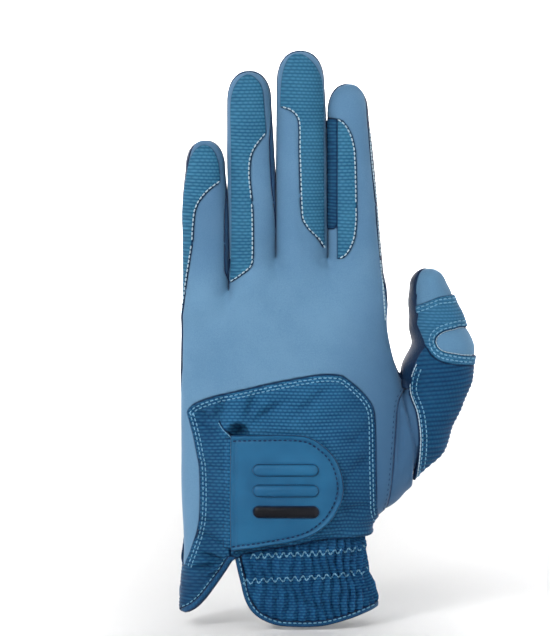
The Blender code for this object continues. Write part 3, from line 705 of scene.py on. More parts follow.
class Look:
    """A material whose patterns come from the stored rest position, in millimetres."""

    def __init__(self, name, roughness, **sockets):
        self.material = bpy.data.materials.new(name)
        self.material.use_nodes = True
        self.tree = self.material.node_tree
        self.shader = self.tree.nodes["Principled BSDF"]
        self.shader.inputs["Roughness"].default_value = roughness
        for socket, value in sockets.items():
            self.shader.inputs[socket.replace("_", " ")].default_value = value
        self.rest = self.node("ShaderNodeAttribute", attribute_name="rest").outputs["Vector"]
        split = self.node("ShaderNodeSeparateXYZ")
        self.link(self.rest, split.inputs[0])
        self.x, self.y, self.z = split.outputs
        self.rows = self.node("ShaderNodeAttribute", attribute_name="rows").outputs["Fac"]

    def node(self, kind, **settings):
        made = self.tree.nodes.new(kind)
        for key, value in settings.items():
            setattr(made, key, value)
        return made

    def link(self, source, target):
        self.tree.links.new(source, target)

    def feed(self, value, target):
        if isinstance(value, (int, float)):
            target.default_value = value
        else:
            self.link(value, target)

    def math(self, operation, a, b=0.0, clamp=False):
        made = self.node("ShaderNodeMath", operation=operation, use_clamp=clamp)
        self.feed(a, made.inputs[0])
        self.feed(b, made.inputs[1])
        return made.outputs[0]

    def add(self, a, b, clamp=False):
        return self.math("ADD", a, b, clamp)

    def minus(self, a, b):
        return self.math("SUBTRACT", a, b)

    def times(self, a, b):
        return self.math("MULTIPLY", a, b)

    def power(self, a, b):
        return self.math("POWER", a, b)

    def most(self, a, b):
        return self.math("MAXIMUM", a, b)

    def wave(self, value, pitch, turn=0.0):
        """A sine of that pitch in millimetres, from 0 to 1."""
        angle = self.add(self.times(value, 2 * math.pi / pitch), turn)
        return self.times(self.add(self.math("SINE", angle), 1.0), 0.5)

    def noise(self, scale, detail=2.0):
        made = self.node("ShaderNodeTexNoise")
        made.inputs["Scale"].default_value = scale
        made.inputs["Detail"].default_value = detail
        self.link(self.rest, made.inputs["Vector"])
        return made.outputs[0]

    def grains(self, scale):
        made = self.node("ShaderNodeTexVoronoi", feature="DISTANCE_TO_EDGE")
        made.inputs["Scale"].default_value = scale
        self.link(self.rest, made.inputs["Vector"])
        return made.outputs["Distance"]

    def blend(self, factor, a, b):
        made = self.node("ShaderNodeMix", data_type="RGBA")
        self.feed(factor, made.inputs[0])
        for socket, colour in ((made.inputs[6], a), (made.inputs[7], b)):
            if isinstance(colour, tuple):
                socket.default_value = colour
            else:
                self.link(colour, socket)
        return made.outputs[2]

    def ramp(self, value, low, high):
        made = self.node("ShaderNodeMapRange")
        made.interpolation_type = "SMOOTHSTEP"
        self.link(value, made.inputs["Value"])
        made.inputs["From Min"].default_value = low
        made.inputs["From Max"].default_value = high
        return made.outputs["Result"]

    def colour(self, value, seam=0.75):
        """The base colour, with painted shade in the crease beside a seam."""
        crease = self.node("ShaderNodeAttribute", attribute_name="seam").outputs["Fac"]
        shaded = self.blend(self.ramp(crease, 0.0, seam), linear(SEAM_SHADE_COLOUR), value)
        self.link(shaded, self.shader.inputs["Base Color"])

    def bump(self, height, depth, strength=1.0):
        """Relief of a height of 0 to 1 and a depth in millimetres."""
        made = self.node("ShaderNodeBump")
        made.inputs["Strength"].default_value = strength
        made.inputs["Distance"].default_value = depth * MM
        self.link(height, made.inputs["Height"])
        self.link(made.outputs[0], self.shader.inputs["Normal"])


def stretch_look(name, colour, dark, painted_shade=None):
    """A fine smooth knit of tiny loops. A painted shade darkens the fingers and the thumb's side of the wrist."""
    look = Look(name, 0.75, Sheen_Weight=0.12, Sheen_Roughness=0.4, Specular_IOR_Level=0.2)
    leans = [look.wave(look.math(lean, look.x, look.z), LOOP_SIZE) for lean in ("ADD", "SUBTRACT")]
    loops = look.times(*leans)
    cloud = look.noise(0.045, 3.0)
    speck = look.noise(2.2, 2.0)
    tone = look.add(look.times(cloud, 0.55), look.times(speck, 0.45))
    cloth = look.blend(look.ramp(tone, 0.3, 0.72), linear(dark), linear(colour))
    # painted shade: darker towards the lower right and over the fingers, most on the little finger's side
    if painted_shade is not None:
        low_right = look.minus(look.x, look.times(look.z, 0.33))
        deep = look.times(look.ramp(low_right, -26.0, 24.0), 0.95)
        left = look.add(look.times(look.ramp(look.x, -16.0, -26.0), 0.25), 0.24)
        fingers = look.times(look.ramp(look.z, 136.0, 166.0), left)
        cloth = look.blend(look.most(deep, fingers), cloth, linear(painted_shade))
    look.colour(cloth)
    look.bump(look.add(loops, look.times(speck, 0.5)), 0.05, 0.6)
    return look.material


def row_height(look, v):
    """The height that a look's rows follow: they slope and wander a little."""
    return v[:, 2] + RIBS[look][1] * v[:, 0] + ROW_WANDER[1] * waves(v, ROW_WANDER[0], 51)


def ribbed_look(key, top, groove, mesh=0.45, painted_shade=None):
    """Leather faced with a ribbed mesh: raised rows of small dashes, set like bricks."""
    look = Look(key, 0.65, Specular_IOR_Level=0.1)
    pitch = RIBS[key][0]
    rib = look.wave(look.rows, pitch, -math.pi / 2)
    row = look.math("FLOOR", look.math("DIVIDE", look.rows, pitch))
    shift = look.times(look.math("MODULO", row, 2.0), DASH / 2)
    across = look.add(look.add(look.x, look.times(look.y, 0.8)), shift)
    dash = look.add(1.0 - mesh, look.times(look.power(look.wave(across, DASH), 0.5), mesh))
    body = look.times(look.power(rib, 0.8), dash)
    wear = look.times(look.noise(0.09, 3.0), 0.5)
    factor = look.add(look.times(body, 0.85), look.minus(wear, 0.2), clamp=True)
    faced = look.blend(factor, linear(groove), linear(top))
    # painted shade: the leather darkens towards the right, the left and the bottom
    if painted_shade is not None:
        right = look.times(look.ramp(look.x, 12.0, 42.0), 0.5)
        low = look.times(look.ramp(look.z, 38.0, 16.0), 0.6)
        left = look.times(look.ramp(look.x, -20.0, -30.0), 0.35)
        faced = look.blend(look.most(left, look.most(right, low)), faced, linear(painted_shade))
    look.colour(faced)
    look.bump(body, 0.25, 0.7)
    return look.material


def leather_look(name, colour, dark, roughness=0.5):
    """Smooth soft leather with a fine pebble grain."""
    look = Look(name, roughness, Specular_IOR_Level=0.15)
    grain = look.ramp(look.grains(0.9), 0.0, 0.35)
    fine = look.noise(1.6, 4.0)
    tone = look.add(look.times(look.noise(0.05, 3.0), 0.8), look.times(fine, 0.2))
    look.colour(look.blend(look.ramp(tone, 0.3, 0.75), linear(dark), linear(colour)))
    look.bump(look.add(grain, look.times(fine, 0.4)), 0.09, 0.7)
    return look.material


def knit_look(name, colour, dark, across, up, depth):
    """A coarser knit or weave: rows of stitches that lean both ways."""
    look = Look(name, 0.8, Sheen_Weight=0.08, Sheen_Roughness=0.5, Specular_IOR_Level=0.15)
    side = look.wave(look.add(look.x, look.times(look.y, 0.7)), across)
    row = look.wave(look.add(look.z, look.times(side, up * 0.35)), up)
    body = look.times(look.power(side, 0.5), look.power(row, 0.6))
    cloud = look.times(look.noise(0.11, 3.0), 0.5)
    factor = look.add(look.times(body, 0.75), look.minus(cloud, 0.1), clamp=True)
    look.colour(look.blend(factor, linear(dark), linear(colour)))
    look.bump(body, depth, 0.8)
    return look.material


def rubber_look(name, colour, dark, roughness=0.42):
    """Moulded satin rubber with a very fine texture."""
    look = Look(name, roughness, Specular_IOR_Level=0.2)
    fine = look.noise(3.0, 3.0)
    look.colour(look.blend(look.ramp(look.noise(0.05, 2.0), 0.3, 0.7), linear(dark), linear(colour)))
    look.bump(fine, 0.03, 0.5)
    return look.material


def thread_look(name, colour, dark):
    """Twisted thread."""
    look = Look(name, 0.7, Sheen_Weight=0.05, Specular_IOR_Level=0.15)
    twist = look.wave(look.add(look.x, look.z), 0.45)
    look.colour(look.blend(twist, linear(dark), linear(colour)))
    look.bump(twist, 0.06, 0.8)
    return look.material


def pile_look(name, colour, dark):
    """The fuzzy or hooked face of a fastener."""
    look = Look(name, 0.95, Sheen_Weight=0.15, Sheen_Roughness=0.6, Specular_IOR_Level=0.1)
    fuzz = look.grains(1.9)
    look.colour(look.blend(look.ramp(fuzz, 0.0, 0.4), linear(dark), linear(colour)))
    look.bump(fuzz, 0.5, 1.0)
    return look.material


LOOKS = {
    # the back's knit, with painted shade over the fingers and towards the lower right
    "stretch": stretch_look("stretch_knit", (104, 146, 179), (90, 132, 166), painted_shade=(58, 97, 134)),
    # the knit darkened as painted shade, for the thumb's gusset and the fingers' side strips
    "stretch_deep": stretch_look("stretch_knit_shaded", (86, 130, 164), (74, 116, 150), painted_shade=(58, 96, 133)),
    # darker still: painted shade on the finger sides that face a neighbouring finger
    "stretch_side": stretch_look("stretch_knit_shaded_side", (58, 98, 136), (44, 82, 118)),
    "stretch_tip": stretch_look("stretch_knit_tip", (98, 143, 178), (86, 130, 164)),
    "ribbed": ribbed_look("ribbed", (70, 133, 165), (32, 84, 119), mesh=0.6),
    # the ribbed leather darkened as painted shade, for the fourchette and side between the middle and index fingers
    "ribbed_shaded": ribbed_look("ribbed_shaded", (40, 94, 130), (14, 52, 88), mesh=0.6),
    # the wrist's ribbed leather, with painted shade towards its right, left and lower edges
    "ribbed_wrist": ribbed_look("ribbed_wrist", (56, 122, 164), (14, 64, 104), mesh=0.68, painted_shade=(6, 42, 78)),
    "ribbed_thumb": ribbed_look("ribbed_thumb", (30, 86, 124), (8, 54, 92), mesh=0.35),
    "strap_leather": ribbed_look("strap_leather", (70, 128, 164), (34, 88, 126), mesh=0.55),
    # the leather's own dark colour, made darker still as painted shade for the shadowed palm side
    "palm": leather_look("palm_leather", (15, 48, 80), (8, 36, 66)),
    "cuff": ribbed_look("cuff", (42, 106, 150), (12, 60, 104), mesh=0.6),
    "binding": knit_look("binding_tape", (32, 88, 130), (16, 64, 104), 0.7, 0.7, 0.15),
    "rubber": rubber_look("moulded_rubber", (32, 100, 142), (22, 86, 128)),
    "dark_rubber": rubber_look("dark_rubber", (8, 10, 20), (4, 6, 14), 0.35),
    "thread": thread_look("pale_thread", (134, 190, 220), (86, 142, 178)),
    "white_thread": thread_look("white_thread", (214, 234, 244), (138, 178, 202)),
    "dark_thread": thread_look("dark_thread", (18, 58, 96), (6, 34, 68)),
    "pile": pile_look("loop_pile", (48, 92, 128), (24, 54, 84)),
    "hooks": pile_look("hook_face", (30, 48, 72), (12, 22, 38)),
    "label": knit_look("label_tape", (206, 212, 214), (168, 176, 182), 0.5, 0.5, 0.08),
    "elastic": knit_look("elastic_band", (60, 104, 140), (34, 70, 104), 0.9, 1.6, 0.3),
}

# The record's slots, with the looks that each one covers.
SLOTS = {
    "stretch_knit": ("stretch", "stretch_deep", "stretch_side", "stretch_tip"),
    "ribbed_leather": ("ribbed", "ribbed_shaded", "ribbed_wrist", "ribbed_thumb", "strap_leather"),
    "palm_leather": ("palm",),
    "cuff_knit": ("cuff", "elastic"),
    "binding": ("binding", "thread", "white_thread", "dark_thread"),
    "hook_and_loop": ("pile", "hooks"),
    "rubber": ("rubber",),
    "dark_rubber": ("dark_rubber",),
    "label": ("label",),
}
SLOT_OF = {look: slot for slot, looks in SLOTS.items() for look in looks}

# ---------------------------------------------------------------- the skin in regions


def melted_hand(block):
    """The hand with the roots of its fingers and its thumb."""
    hand = hand_field(block)
    whole = hand.copy()
    for finger in FINGERS.values():
        middle, half = finger["x"][0], finger["w"][0]
        near = Block((middle - half - 7, -18, 118), (middle + half + 7, 20, 170))
        near.last = np.minimum(near.last, block.last)
        near = Block(GRID_LOW + near.first * STEP, GRID_LOW + near.last * STEP)
        place = near.within(block)
        fade = np.maximum(0, 133 - near.z_line)[None, None, :] * 0.3
        rooted = melt(hand[place], finger_field(finger, near) + fade, FINGER_MELT)
        whole[place] = np.minimum(whole[place], rooted)
    near = Block((34, -14, 40), (88, 36, 156))
    place = near.within(block)
    whole[place] = melt(whole[place], thumb_field(near), THUMB_MELT)
    return whole


def crumple(vertices, normals):
    """Small dents and folds that leather and cloth take from being handled."""
    depth = SOFT_WAVE[1] * waves(vertices, SOFT_WAVE[0], 11) + FINE_WAVE[1] * waves(vertices, FINE_WAVE[0], 12)
    depth = depth * (0.25 + 0.75 * np.abs(normals[:, 1]))  # less where fingers lie close together
    return vertices + normals * depth[:, None]


def skin(field, block):
    vertices, triangles = surface(field, block)
    sheet = Sheet(vertices, triangles)
    return Sheet(crumple(vertices, sheet.n), triangles)


root_block = Block((-47, -28, -9), (88, 36, 160))
root_sheet = skin(melted_hand(root_block), root_block)


def finger_sheet(name):
    finger = FINGERS[name]
    half = max(finger["w"]) + 3
    low = (min(finger["x"]) - half, -16, finger["start"] - 3)
    block = Block(low, (max(finger["x"]) + half, 20, finger["tip"] + 3))
    return skin(melt(hand_field(block), finger_field(finger, block), FINGER_MELT), block)


def finger_of(x):
    """The start height of the finger above each x."""
    limits = [FINGER_LIMITS[name][1] for name in ("little", "ring", "middle")]
    starts = np.array([FINGERS[name]["start"] for name in ("little", "ring", "middle", "index")])
    return starts[np.searchsorted(limits, x)]


def back_edge(v):
    """The y of the seam between the back and the palm, in front of the thumb."""
    x, z = v[:, 0], v[:, 2]
    left = 2 - 5 * step_between(92, 108, z)
    right = 2 - 6 * step_between(124, 142, z)
    y = left + (3.5 - left) * step_between(-38.5, -33, x)
    return y + (right - 3.5) * step_between(33, 38.5, x)


def thumb_middle(v):
    """The point of the thumb's middle line nearest to each vertex, the radius there, and the distance."""
    best, centre, radius = np.full(len(v), 1e9), np.zeros((len(v), 3)), np.zeros(len(v))
    for first, last in zip(THUMB, THUMB[1:]):
        along = last[:3] - first[:3]
        t = np.clip((v - first[:3]) @ along / (along @ along), 0, 1)
        point = first[:3] + t[:, None] * along
        r = first[3] + t * (last[3] - first[3])
        away = np.linalg.norm(v - point, axis=1) - r
        closer = away < best
        best[closer], centre[closer], radius[closer] = away[closer], point[closer], r[closer]
    return centre, radius, best


def hand_distance(v):
    """About how far outside the hand alone each vertex is."""
    left, right, back, palm = hand_edges(v[:, 2])
    depth = np.where(v[:, 1] < 0, back, palm)
    share = oval((v[:, 0] - (left + right) / 2) / ((right - left) / 2), v[:, 1] / depth, HAND_POWER)
    return share * HAND_SCALE


def back_rule(v):
    """Positive on the back, negative on the palm side."""
    hand = back_edge(v) - v[:, 1]
    centre, radius, away = thumb_middle(v)
    thumb = (v - centre) @ THUMB_BACK + THUMB_PALM_SHARE * radius
    share = step_between(-2.5, 2.5, hand_distance(v) - away) * (v[:, 0] > 40) * (v[:, 2] < 152)
    return hand * (1 - share) + thumb * share


def in_outline(strokes):
    line = outline(strokes)
    return lambda v: inside_distance(front(v), line)


def beside(points):
    line = smooth_line(points)
    return lambda v: right_of(front(v), line)


def above_line(points):
    """Positive above an open line of (x, z) with rising x."""
    line = smooth_line(points)
    return lambda v: v[:, 2] - np.interp(v[:, 0], line[:, 0], line[:, 1])


def both(*rules):
    return lambda v: np.min([rule(v) for rule in rules], axis=0)


def near_line(points, width):
    """Positive within a width of an open line of (x, z)."""
    line = smooth_line(points)
    return lambda v: width - distance_to_line(front(v), line)


def opposite(rule):
    return lambda v: -rule(v)


def on_thumb(v):
    return np.minimum(above_start("thumb_base")(v), v[:, 0] - THUMB_SIDE)


# ---------------------------------------------------------------- from sheets to pieces


def rim_of(sheet):
    """The vertices on a sheet's open edges."""
    return np.unique(rim_edges(sheet.t, len(sheet.v)))


def edge_distance(sheet, quiet=()):
    """How far each vertex is from the sheet's nearest seam; edges on the quiet planes are no seams."""
    rim = rim_of(sheet)
    for rule in quiet:
        rim = rim[np.abs(rule(sheet.v[rim])) > 0.05]
    if not len(rim):
        return np.full(len(sheet.v), FAR)
    tree = KDTree(len(rim))
    for i, point in enumerate(sheet.v[rim]):
        tree.insert(point, i)
    tree.balance()
    return np.array([tree.find(point)[2] for point in sheet.v])


def raised(lift, width=0.8):
    """An outer profile: zero at the seam, rounding up to lift."""
    return lambda d: lift * rounded(d, width)


def sunk(depth, width=1.3):
    """An outer profile that dips at the seam."""
    return lambda d: -depth * np.exp(-np.maximum(d, 0) / width)


def flat(height):
    return lambda d: height + 0 * d


def make(name, sheet, look, region, profile, *nodes, slot=None, quiet=(), inner=-WALL, levels=(), extra=None):
    """A closed piece from a sheet. Nothing is made from an empty sheet."""
    if not len(sheet.t):
        return
    d = edge_distance(sheet, quiet)
    for level in levels:
        sheet, _ = cut(sheet, d - level, snap=0.0)
        d = edge_distance(sheet, quiet)
    rows = None
    if look in RIBS:
        pitch, _, depth = RIBS[look]
        rows = row_height(look, sheet.v)
        if depth:
            for level in np.arange(math.ceil(2 * rows.min() / pitch), 2 * rows.max() / pitch) * pitch / 2:
                sheet, _ = cut(sheet, row_height(look, sheet.v) - level, snap=0.0)
            rows, d = row_height(look, sheet.v), edge_distance(sheet, quiet)
    outer = profile(d)
    if rows is not None:
        outer = outer - RIBS[look][2] * np.cos(2 * math.pi * rows / RIBS[look][0]) * step_between(0.6, 1.6, d)
    if extra is not None:
        outer = outer + extra(sheet.v, d)
    vertices, triangles, walls = shell(sheet, outer, np.minimum(inner, outer - 0.3))
    rest = np.vstack([sheet.v, sheet.v])
    rows = None if rows is None else np.concatenate([rows, rows])
    obj = build_object(name, vertices, triangles, walls, LOOKS[look], rest, np.concatenate([d, d]), rows)
    if quiet:
        near = np.zeros(len(sheet.v), bool)
        for rule in quiet:
            near |= np.abs(rule(sheet.v)) < 0.05
        steady_normals(obj, sheet, near)
    attach(obj, region, slot or SLOT_OF[look], *nodes)


# ---------------------------------------------------------------- the hand's panels

LEATHER_LIFT = 0.55
HEM_WIDTH = 2.3
EDGE_ROWS = (0.3, 0.75)  # rows of vertices this far in from a raised seam
GUSSET_TOP, CUFF_TOP = 98.5, 36.5
NOTCH_TOP, NOTCH_LEFT, NOTCH_FOOT = 34.0, -34.0, 10.0


def in_notch(v):
    """The open notch between the flap and the cuff."""
    return np.minimum(NOTCH_TOP - v[:, 2], np.maximum(v[:, 0] - NOTCH_LEFT, NOTCH_FOOT - v[:, 2]))


# All fingers start on planes; what lies above them belongs to the fingers.
in_hand = lambda v: finger_of(v[:, 0]) - v[:, 2]
starts = [lambda v, z=finger["start"]: v[:, 2] - z for finger in FINGERS.values()]
hand_sheet, _ = divide(root_sheet, in_hand)
thumb_sheet, hand_sheet = divide(hand_sheet, on_thumb)
thumb_quiet = (above_start("thumb_base"),)

hand_back, hand_palm = divide(hand_sheet, back_rule)
wrist_sheet, rest_sheet = divide(hand_back, in_outline(WRIST_OUTLINE))
cuff_sheet, rest_sheet = divide(rest_sheet, in_outline(CUFF_OUTLINE))
ribbed_root, rest_sheet = divide(rest_sheet, both(beside(THUMB_SEAM), lambda v: v[:, 0] - THUMB_SIDE))
_, rest_sheet = divide(rest_sheet, in_notch)
gusset_sheet, back_sheet = divide(rest_sheet, both(beside(GUSSET_SEAM), lambda v: GUSSET_TOP - v[:, 2]))
little_root, back_sheet = divide(back_sheet, in_outline(LITTLE_INLAY))
ring_root, back_sheet = divide(back_sheet, in_outline(RING_INLAY))
palm_sheet, _ = divide(hand_palm, above_line(PALM_HEM))
palm_hem_sheet, palm_sheet = divide(palm_sheet, near_line(PALM_HEM, HEM_WIDTH))
cuff_palm_sheet, palm_sheet = divide(palm_sheet, lambda v: CUFF_TOP - v[:, 2])
cuff_hem_sheet, cuff_sheet = divide(cuff_sheet, near_line(CUFF_OUTLINE[0], HEM_WIDTH))
flap_hem_sheet, wrist_sheet = divide(wrist_sheet, near_line(WRIST_OUTLINE[3], HEM_WIDTH))

FLAP_APEX = np.array((-20.5, 27.0))
POCKET = np.array((-17.5, 80.5))  # the opening at the top of the slit
LIP_RISE, LIP_REACH = 1.9, 4.5
POCKET_DEPTH, POCKET_REACH = 7.5, 3.7
ROLL_RISE, ROLL_HEIGHT, ROLL_WIDTH = 1.5, 38.2, 1.5  # the wrist panel's lower edge, over the cuff


def fold_line(v, start, end, width, depth):
    """A soft crease from one (x, z) to another, deepest in the middle."""
    start, end = np.array(start, float), np.array(end, float)
    along = (end - start) / np.linalg.norm(end - start)
    away = front(v) - start
    t = away @ along / np.linalg.norm(end - start)
    across = away @ np.array((-along[1], along[0]))
    share = np.clip(t, 0, 1) * (1 - np.clip(t, 0, 1)) * 4
    return depth * share * bell(across, width)


def flap_gathers(v):
    """Folds that fan out from the corner where the flap is gathered in."""
    away = front(v) - FLAP_APEX
    reach = np.linalg.norm(away, axis=1)
    angle = np.arctan2(away[:, 1], away[:, 0])
    share = bell(reach - 8, 7.0) * step_between(36.0, 26.0, v[:, 2])
    return 1.3 * share * np.sin(angle * 14 + 0.6)


FOLD_DEPTH = 2.0
FOLDS = (
    ((-16.0, 82.0), (4.0, 95.0), 2.2, -1.8),
    ((-15.0, 84.0), (-9.0, 100.0), 2.0, -1.4),
    ((-27.0, 84.0), (-37.0, 91.0), 1.6, -1.3),
    ((-27.0, 85.0), (-23.0, 98.0), 1.5, -1.3),
    ((-38.0, 86.0), (-23.0, 79.0), 1.5, -1.0),
    ((-38.0, 70.0), (-22.0, 64.0), 1.4, -0.6),
    ((-36.0, 45.0), (-22.0, 41.0), 1.4, -0.7),
    ((-37.0, 22.0), (-24.0, 28.0), 1.2, -0.9),
    ((2.0, 84.0), (22.0, 101.0), 1.8, -0.8),
    ((24.0, 72.0), (39.0, 84.0), 1.8, -0.7),
    ((-20.0, 30.0), (-38.0, 40.0), 2.2, -1.4),
    ((-21.0, 27.0), (-34.0, 30.0), 1.6, -1.2),
    ((6.0, 33.0), (30.0, 40.0), 1.8, -1.4),
    ((26.0, 60.0), (39.0, 72.0), 2.6, -1.0),
    ((24.0, 46.0), (38.0, 50.0), 2.4, -1.2),
    ((10.0, 80.0), (34.0, 92.0), 3.0, -0.8),
)


def wrist_relief(v, d):
    """Creases and gathers of the wrist panel, and the roll of its lower edge over the cuff."""
    total = flap_gathers(v) + 0.38 * waves(v, 10.0, 31)
    for start, end, width, depth in FOLDS:
        total = total + fold_line(v, start, end, width, depth * FOLD_DEPTH)
    roll = bell(v[:, 2] - ROLL_HEIGHT, ROLL_WIDTH) * step_between(-12, 0, v[:, 0])
    return total + ROLL_RISE * roll


def from_pocket(v):
    """The distance from the slit's opening, seen from the front."""
    return np.linalg.norm(front(v) - POCKET, axis=1)


def left_relief(v, d):
    """The slit's left edge curls up where it opens."""
    return wrist_relief(v, d) + LIP_RISE * bell(from_pocket(v), LIP_REACH)


def right_relief(v, d):
    """The slit's right side dives under its left side."""
    return wrist_relief(v, d) - POCKET_DEPTH * bell(from_pocket(v), POCKET_REACH, 4)


def gusset_creases(v, d):
    """Two creases that run down from between the thumb and the hand."""
    from_fold = beside(THUMB_FOLD)(v)
    near = bell(from_fold, 0.9) + 0.8 * fold_line(v, (51.0, 97.0), (50.0, 62.0), 1.0, 1.0)
    return 0.5 * bell(from_fold + 2.2, 1.5) - 1.8 * near


slit_rule = beside(SLIT)
whole_above_slit = (lambda v: np.where(v[:, 2] > SLIT_TOP, slit_rule(v), 9.0),)
right_wrist, left_wrist = divide(wrist_sheet, slit_rule)
for side, sheet, relief in (("left", left_wrist, left_relief), ("right", right_wrist, right_relief)):
    make(f"wrist_panel_{side}", sheet, "ribbed_wrist", "hand", raised(LEATHER_LIFT), "wrist_panel",
         quiet=whole_above_slit, levels=EDGE_ROWS, extra=relief)  # fmt: skip
for name, sheet in (("little_inlay_root", little_root), ("ring_inlay_root", ring_root)):
    make(name, sheet, "ribbed", "hand", raised(LEATHER_LIFT), quiet=starts, levels=EDGE_ROWS)
make("back_panel", back_sheet, "stretch", "hand", sunk(0.3), "back_panel", quiet=starts)
# the gusset takes the knit in painted shade
make("thumb_gusset", gusset_sheet, "stretch_deep", "hand", sunk(0.3), "thumb_gusset",
     quiet=thumb_quiet, extra=gusset_creases)  # fmt: skip
make("palm_panel", palm_sheet, "palm", "hand", raised(0.15), "palm_panel",
     quiet=starts + list(thumb_quiet))  # fmt: skip

CUFF_TUCK = 2.0
PUCKER_PITCH, PUCKER_DEPTH = 4.3, 1.25
ELASTIC_ROWS, ROW_SINK, ROW_WIDTH = (30.5, 20.3), 0.45, 1.6  # where the elastic is sewn on
BAND_DEPTHS = (-2.6, -3.4)  # outer and inner face of the elastic bands
LABEL_DEPTHS = (-1.5, -1.9)


def puckers(v, d):
    """Gathers that the elastic pulls into the cuff, tucked under the fold above it."""
    around = v[:, 0] + 0.9 * v[:, 1]
    drift = 0.9 * np.sin(v[:, 2] * 0.35 + v[:, 0] * 0.2)
    deep = PUCKER_DEPTH * np.sin(2 * math.pi * (around + drift) / PUCKER_PITCH) + 0.6 * waves(v, 6.0, 41)
    rows = sum(-ROW_SINK * bell(v[:, 2] - height, ROW_WIDTH) for height in ELASTIC_ROWS)
    return deep + rows - CUFF_TUCK * step_between(31.0, 36.5, v[:, 2])


make("cuff_back", cuff_sheet, "cuff", "hand", raised(0.3), "cuff_back", extra=puckers)
make("cuff_palm", cuff_palm_sheet, "cuff", "hand", raised(0.3), "cuff_palm",
     extra=lambda v, d: 0.6 * puckers(v, d))  # fmt: skip

tape = raised(0.75, 1.0)
for name, sheet, node in (("hem_binding_cuff", cuff_hem_sheet, "hem_binding_back"),
                          ("hem_binding_flap", flap_hem_sheet, "hem_binding_back"),
                          ("hem_binding_palm", palm_hem_sheet, "hem_binding_palm")):  # fmt: skip
    make(name, sheet, "binding", "hand", tape, node, levels=(0.35, 0.9), inner=-1.6)


def in_box(low_x, high_x, low_z, high_z):
    return lambda v: np.min([v[:, 2] - low_z, high_z - v[:, 2], v[:, 0] - low_x, high_x - v[:, 0]], axis=0)


def inside_band(node):
    """The sheet area behind a CAD piece, by its height and width."""
    low, high = (np.array(corner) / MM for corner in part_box(node))
    return in_box(low[0], high[0], low[2], high[2])


for node in ("elastic_band_lower", "elastic_band_upper"):
    band, _ = divide(cuff_sheet, inside_band(node))
    make(node, band, "elastic", "hand", flat(BAND_DEPTHS[0]), node, inner=BAND_DEPTHS[1],
         extra=lambda v, d: 0.5 * puckers(v, d) - 0.3 * step_between(31.0, 36.5, v[:, 2]))  # fmt: skip
label_area, _ = divide(palm_sheet, inside_band("size_label"))
make("size_label", label_area, "label", "hand", flat(LABEL_DEPTHS[0]), "size_label", inner=LABEL_DEPTHS[1])

# ---------------------------------------------------------------- thumb

thumb_back, thumb_palm = divide(thumb_sheet, both(back_rule, beside(THUMB_SEAM)))
thumb_upper, thumb_ribs = divide(thumb_back, above_line(STRAP_EDGE))
ribs_upper, ribbed_thumb = divide(thumb_ribs, above_start("thumb_tip"))
palm_lower, palm_upper = divide(thumb_palm, opposite(above_start("thumb_tip")))
tip_cap, thumb_strap = divide(thumb_upper, above_line(THUMB_CAP_LINE))
knuckle_patch, thumb_strap = divide(thumb_strap, in_outline(KNUCKLE_PATCH))


def joined(*sheets):
    """Several sheets as one, with their shared vertices welded."""
    vertices, normals = np.vstack([s.v for s in sheets]), np.vstack([s.n for s in sheets])
    offsets = np.cumsum([0] + [len(s.v) for s in sheets[:-1]])
    triangles = np.vstack([s.t + offset for s, offset in zip(sheets, offsets)])
    _, first, index = np.unique(np.round(vertices, 4), axis=0, return_index=True, return_inverse=True)
    triangles = index.ravel()[triangles]
    a, b, c = triangles.T
    return Sheet(vertices[first], triangles[(a != b) & (b != c) & (c != a)], normals[first])


tip_quiet = (above_start("thumb_tip"),)
make("thumb_back_lower", joined(ribbed_root, ribbed_thumb), "ribbed_thumb", "thumb_base",
     raised(LEATHER_LIFT), "thumb_back_lower", quiet=tip_quiet, levels=EDGE_ROWS,
     extra=lambda v, d: -1.3 * LEATHER_LIFT * step_between(72, 60, v[:, 2]))  # fmt: skip
make("thumb_back_middle", ribs_upper, "ribbed_thumb", "thumb_tip", raised(LEATHER_LIFT),
     quiet=tip_quiet, levels=EDGE_ROWS)  # fmt: skip
make("thumb_front_lower", palm_lower, "palm", "thumb_base", raised(0.15), "thumb_front_lower",
     quiet=thumb_quiet + tip_quiet)  # fmt: skip
make("thumb_front_upper", palm_upper, "palm", "thumb_tip", raised(0.15), "thumb_front_upper",
     quiet=tip_quiet)  # fmt: skip
make("thumb_strap", thumb_strap, "strap_leather", "thumb_tip", raised(0.8), "thumb_strap",
     levels=EDGE_ROWS)  # fmt: skip
make("thumb_knuckle_patch", knuckle_patch, "stretch_tip", "thumb_tip", sunk(0.3),
     "thumb_knuckle_patch")  # fmt: skip
make("thumb_tip_cap", tip_cap, "stretch_tip", "thumb_tip", sunk(0.35), "thumb_tip_cap")

# ---------------------------------------------------------------- fingers

STRIP = 3.4  # width of the strips along the fingers' sides
STRIP_GROWS = {"little": 9.0, "ring": 34.0, "middle": 20.0, "index": 20.0}
WIDE_STRIPS = {("little", "right"): 9.0, ("ring", "right"): 10.0, ("middle", "left"): 4.6}
INLAYS = {"little": LITTLE_INLAY, "ring": RING_INLAY, "middle": MIDDLE_INLAY, "index": INDEX_INLAY}
INLAY_LEFT = {"little": True, "ring": True, "middle": False, "index": False}


# Side strips with a look of their own: palm leather past the palm's seam, the rest darker copies in painted shade
# between the fingers. Other strips take the knit in painted shade.
OWN_SIDES = {("little", "left"): "palm", ("index", "right"): "palm", ("index", "left"): "ribbed_shaded",
             ("little", "right"): "stretch_side", ("ring", "right"): "stretch_side",
             ("middle", "left"): "stretch_side"}  # fmt: skip


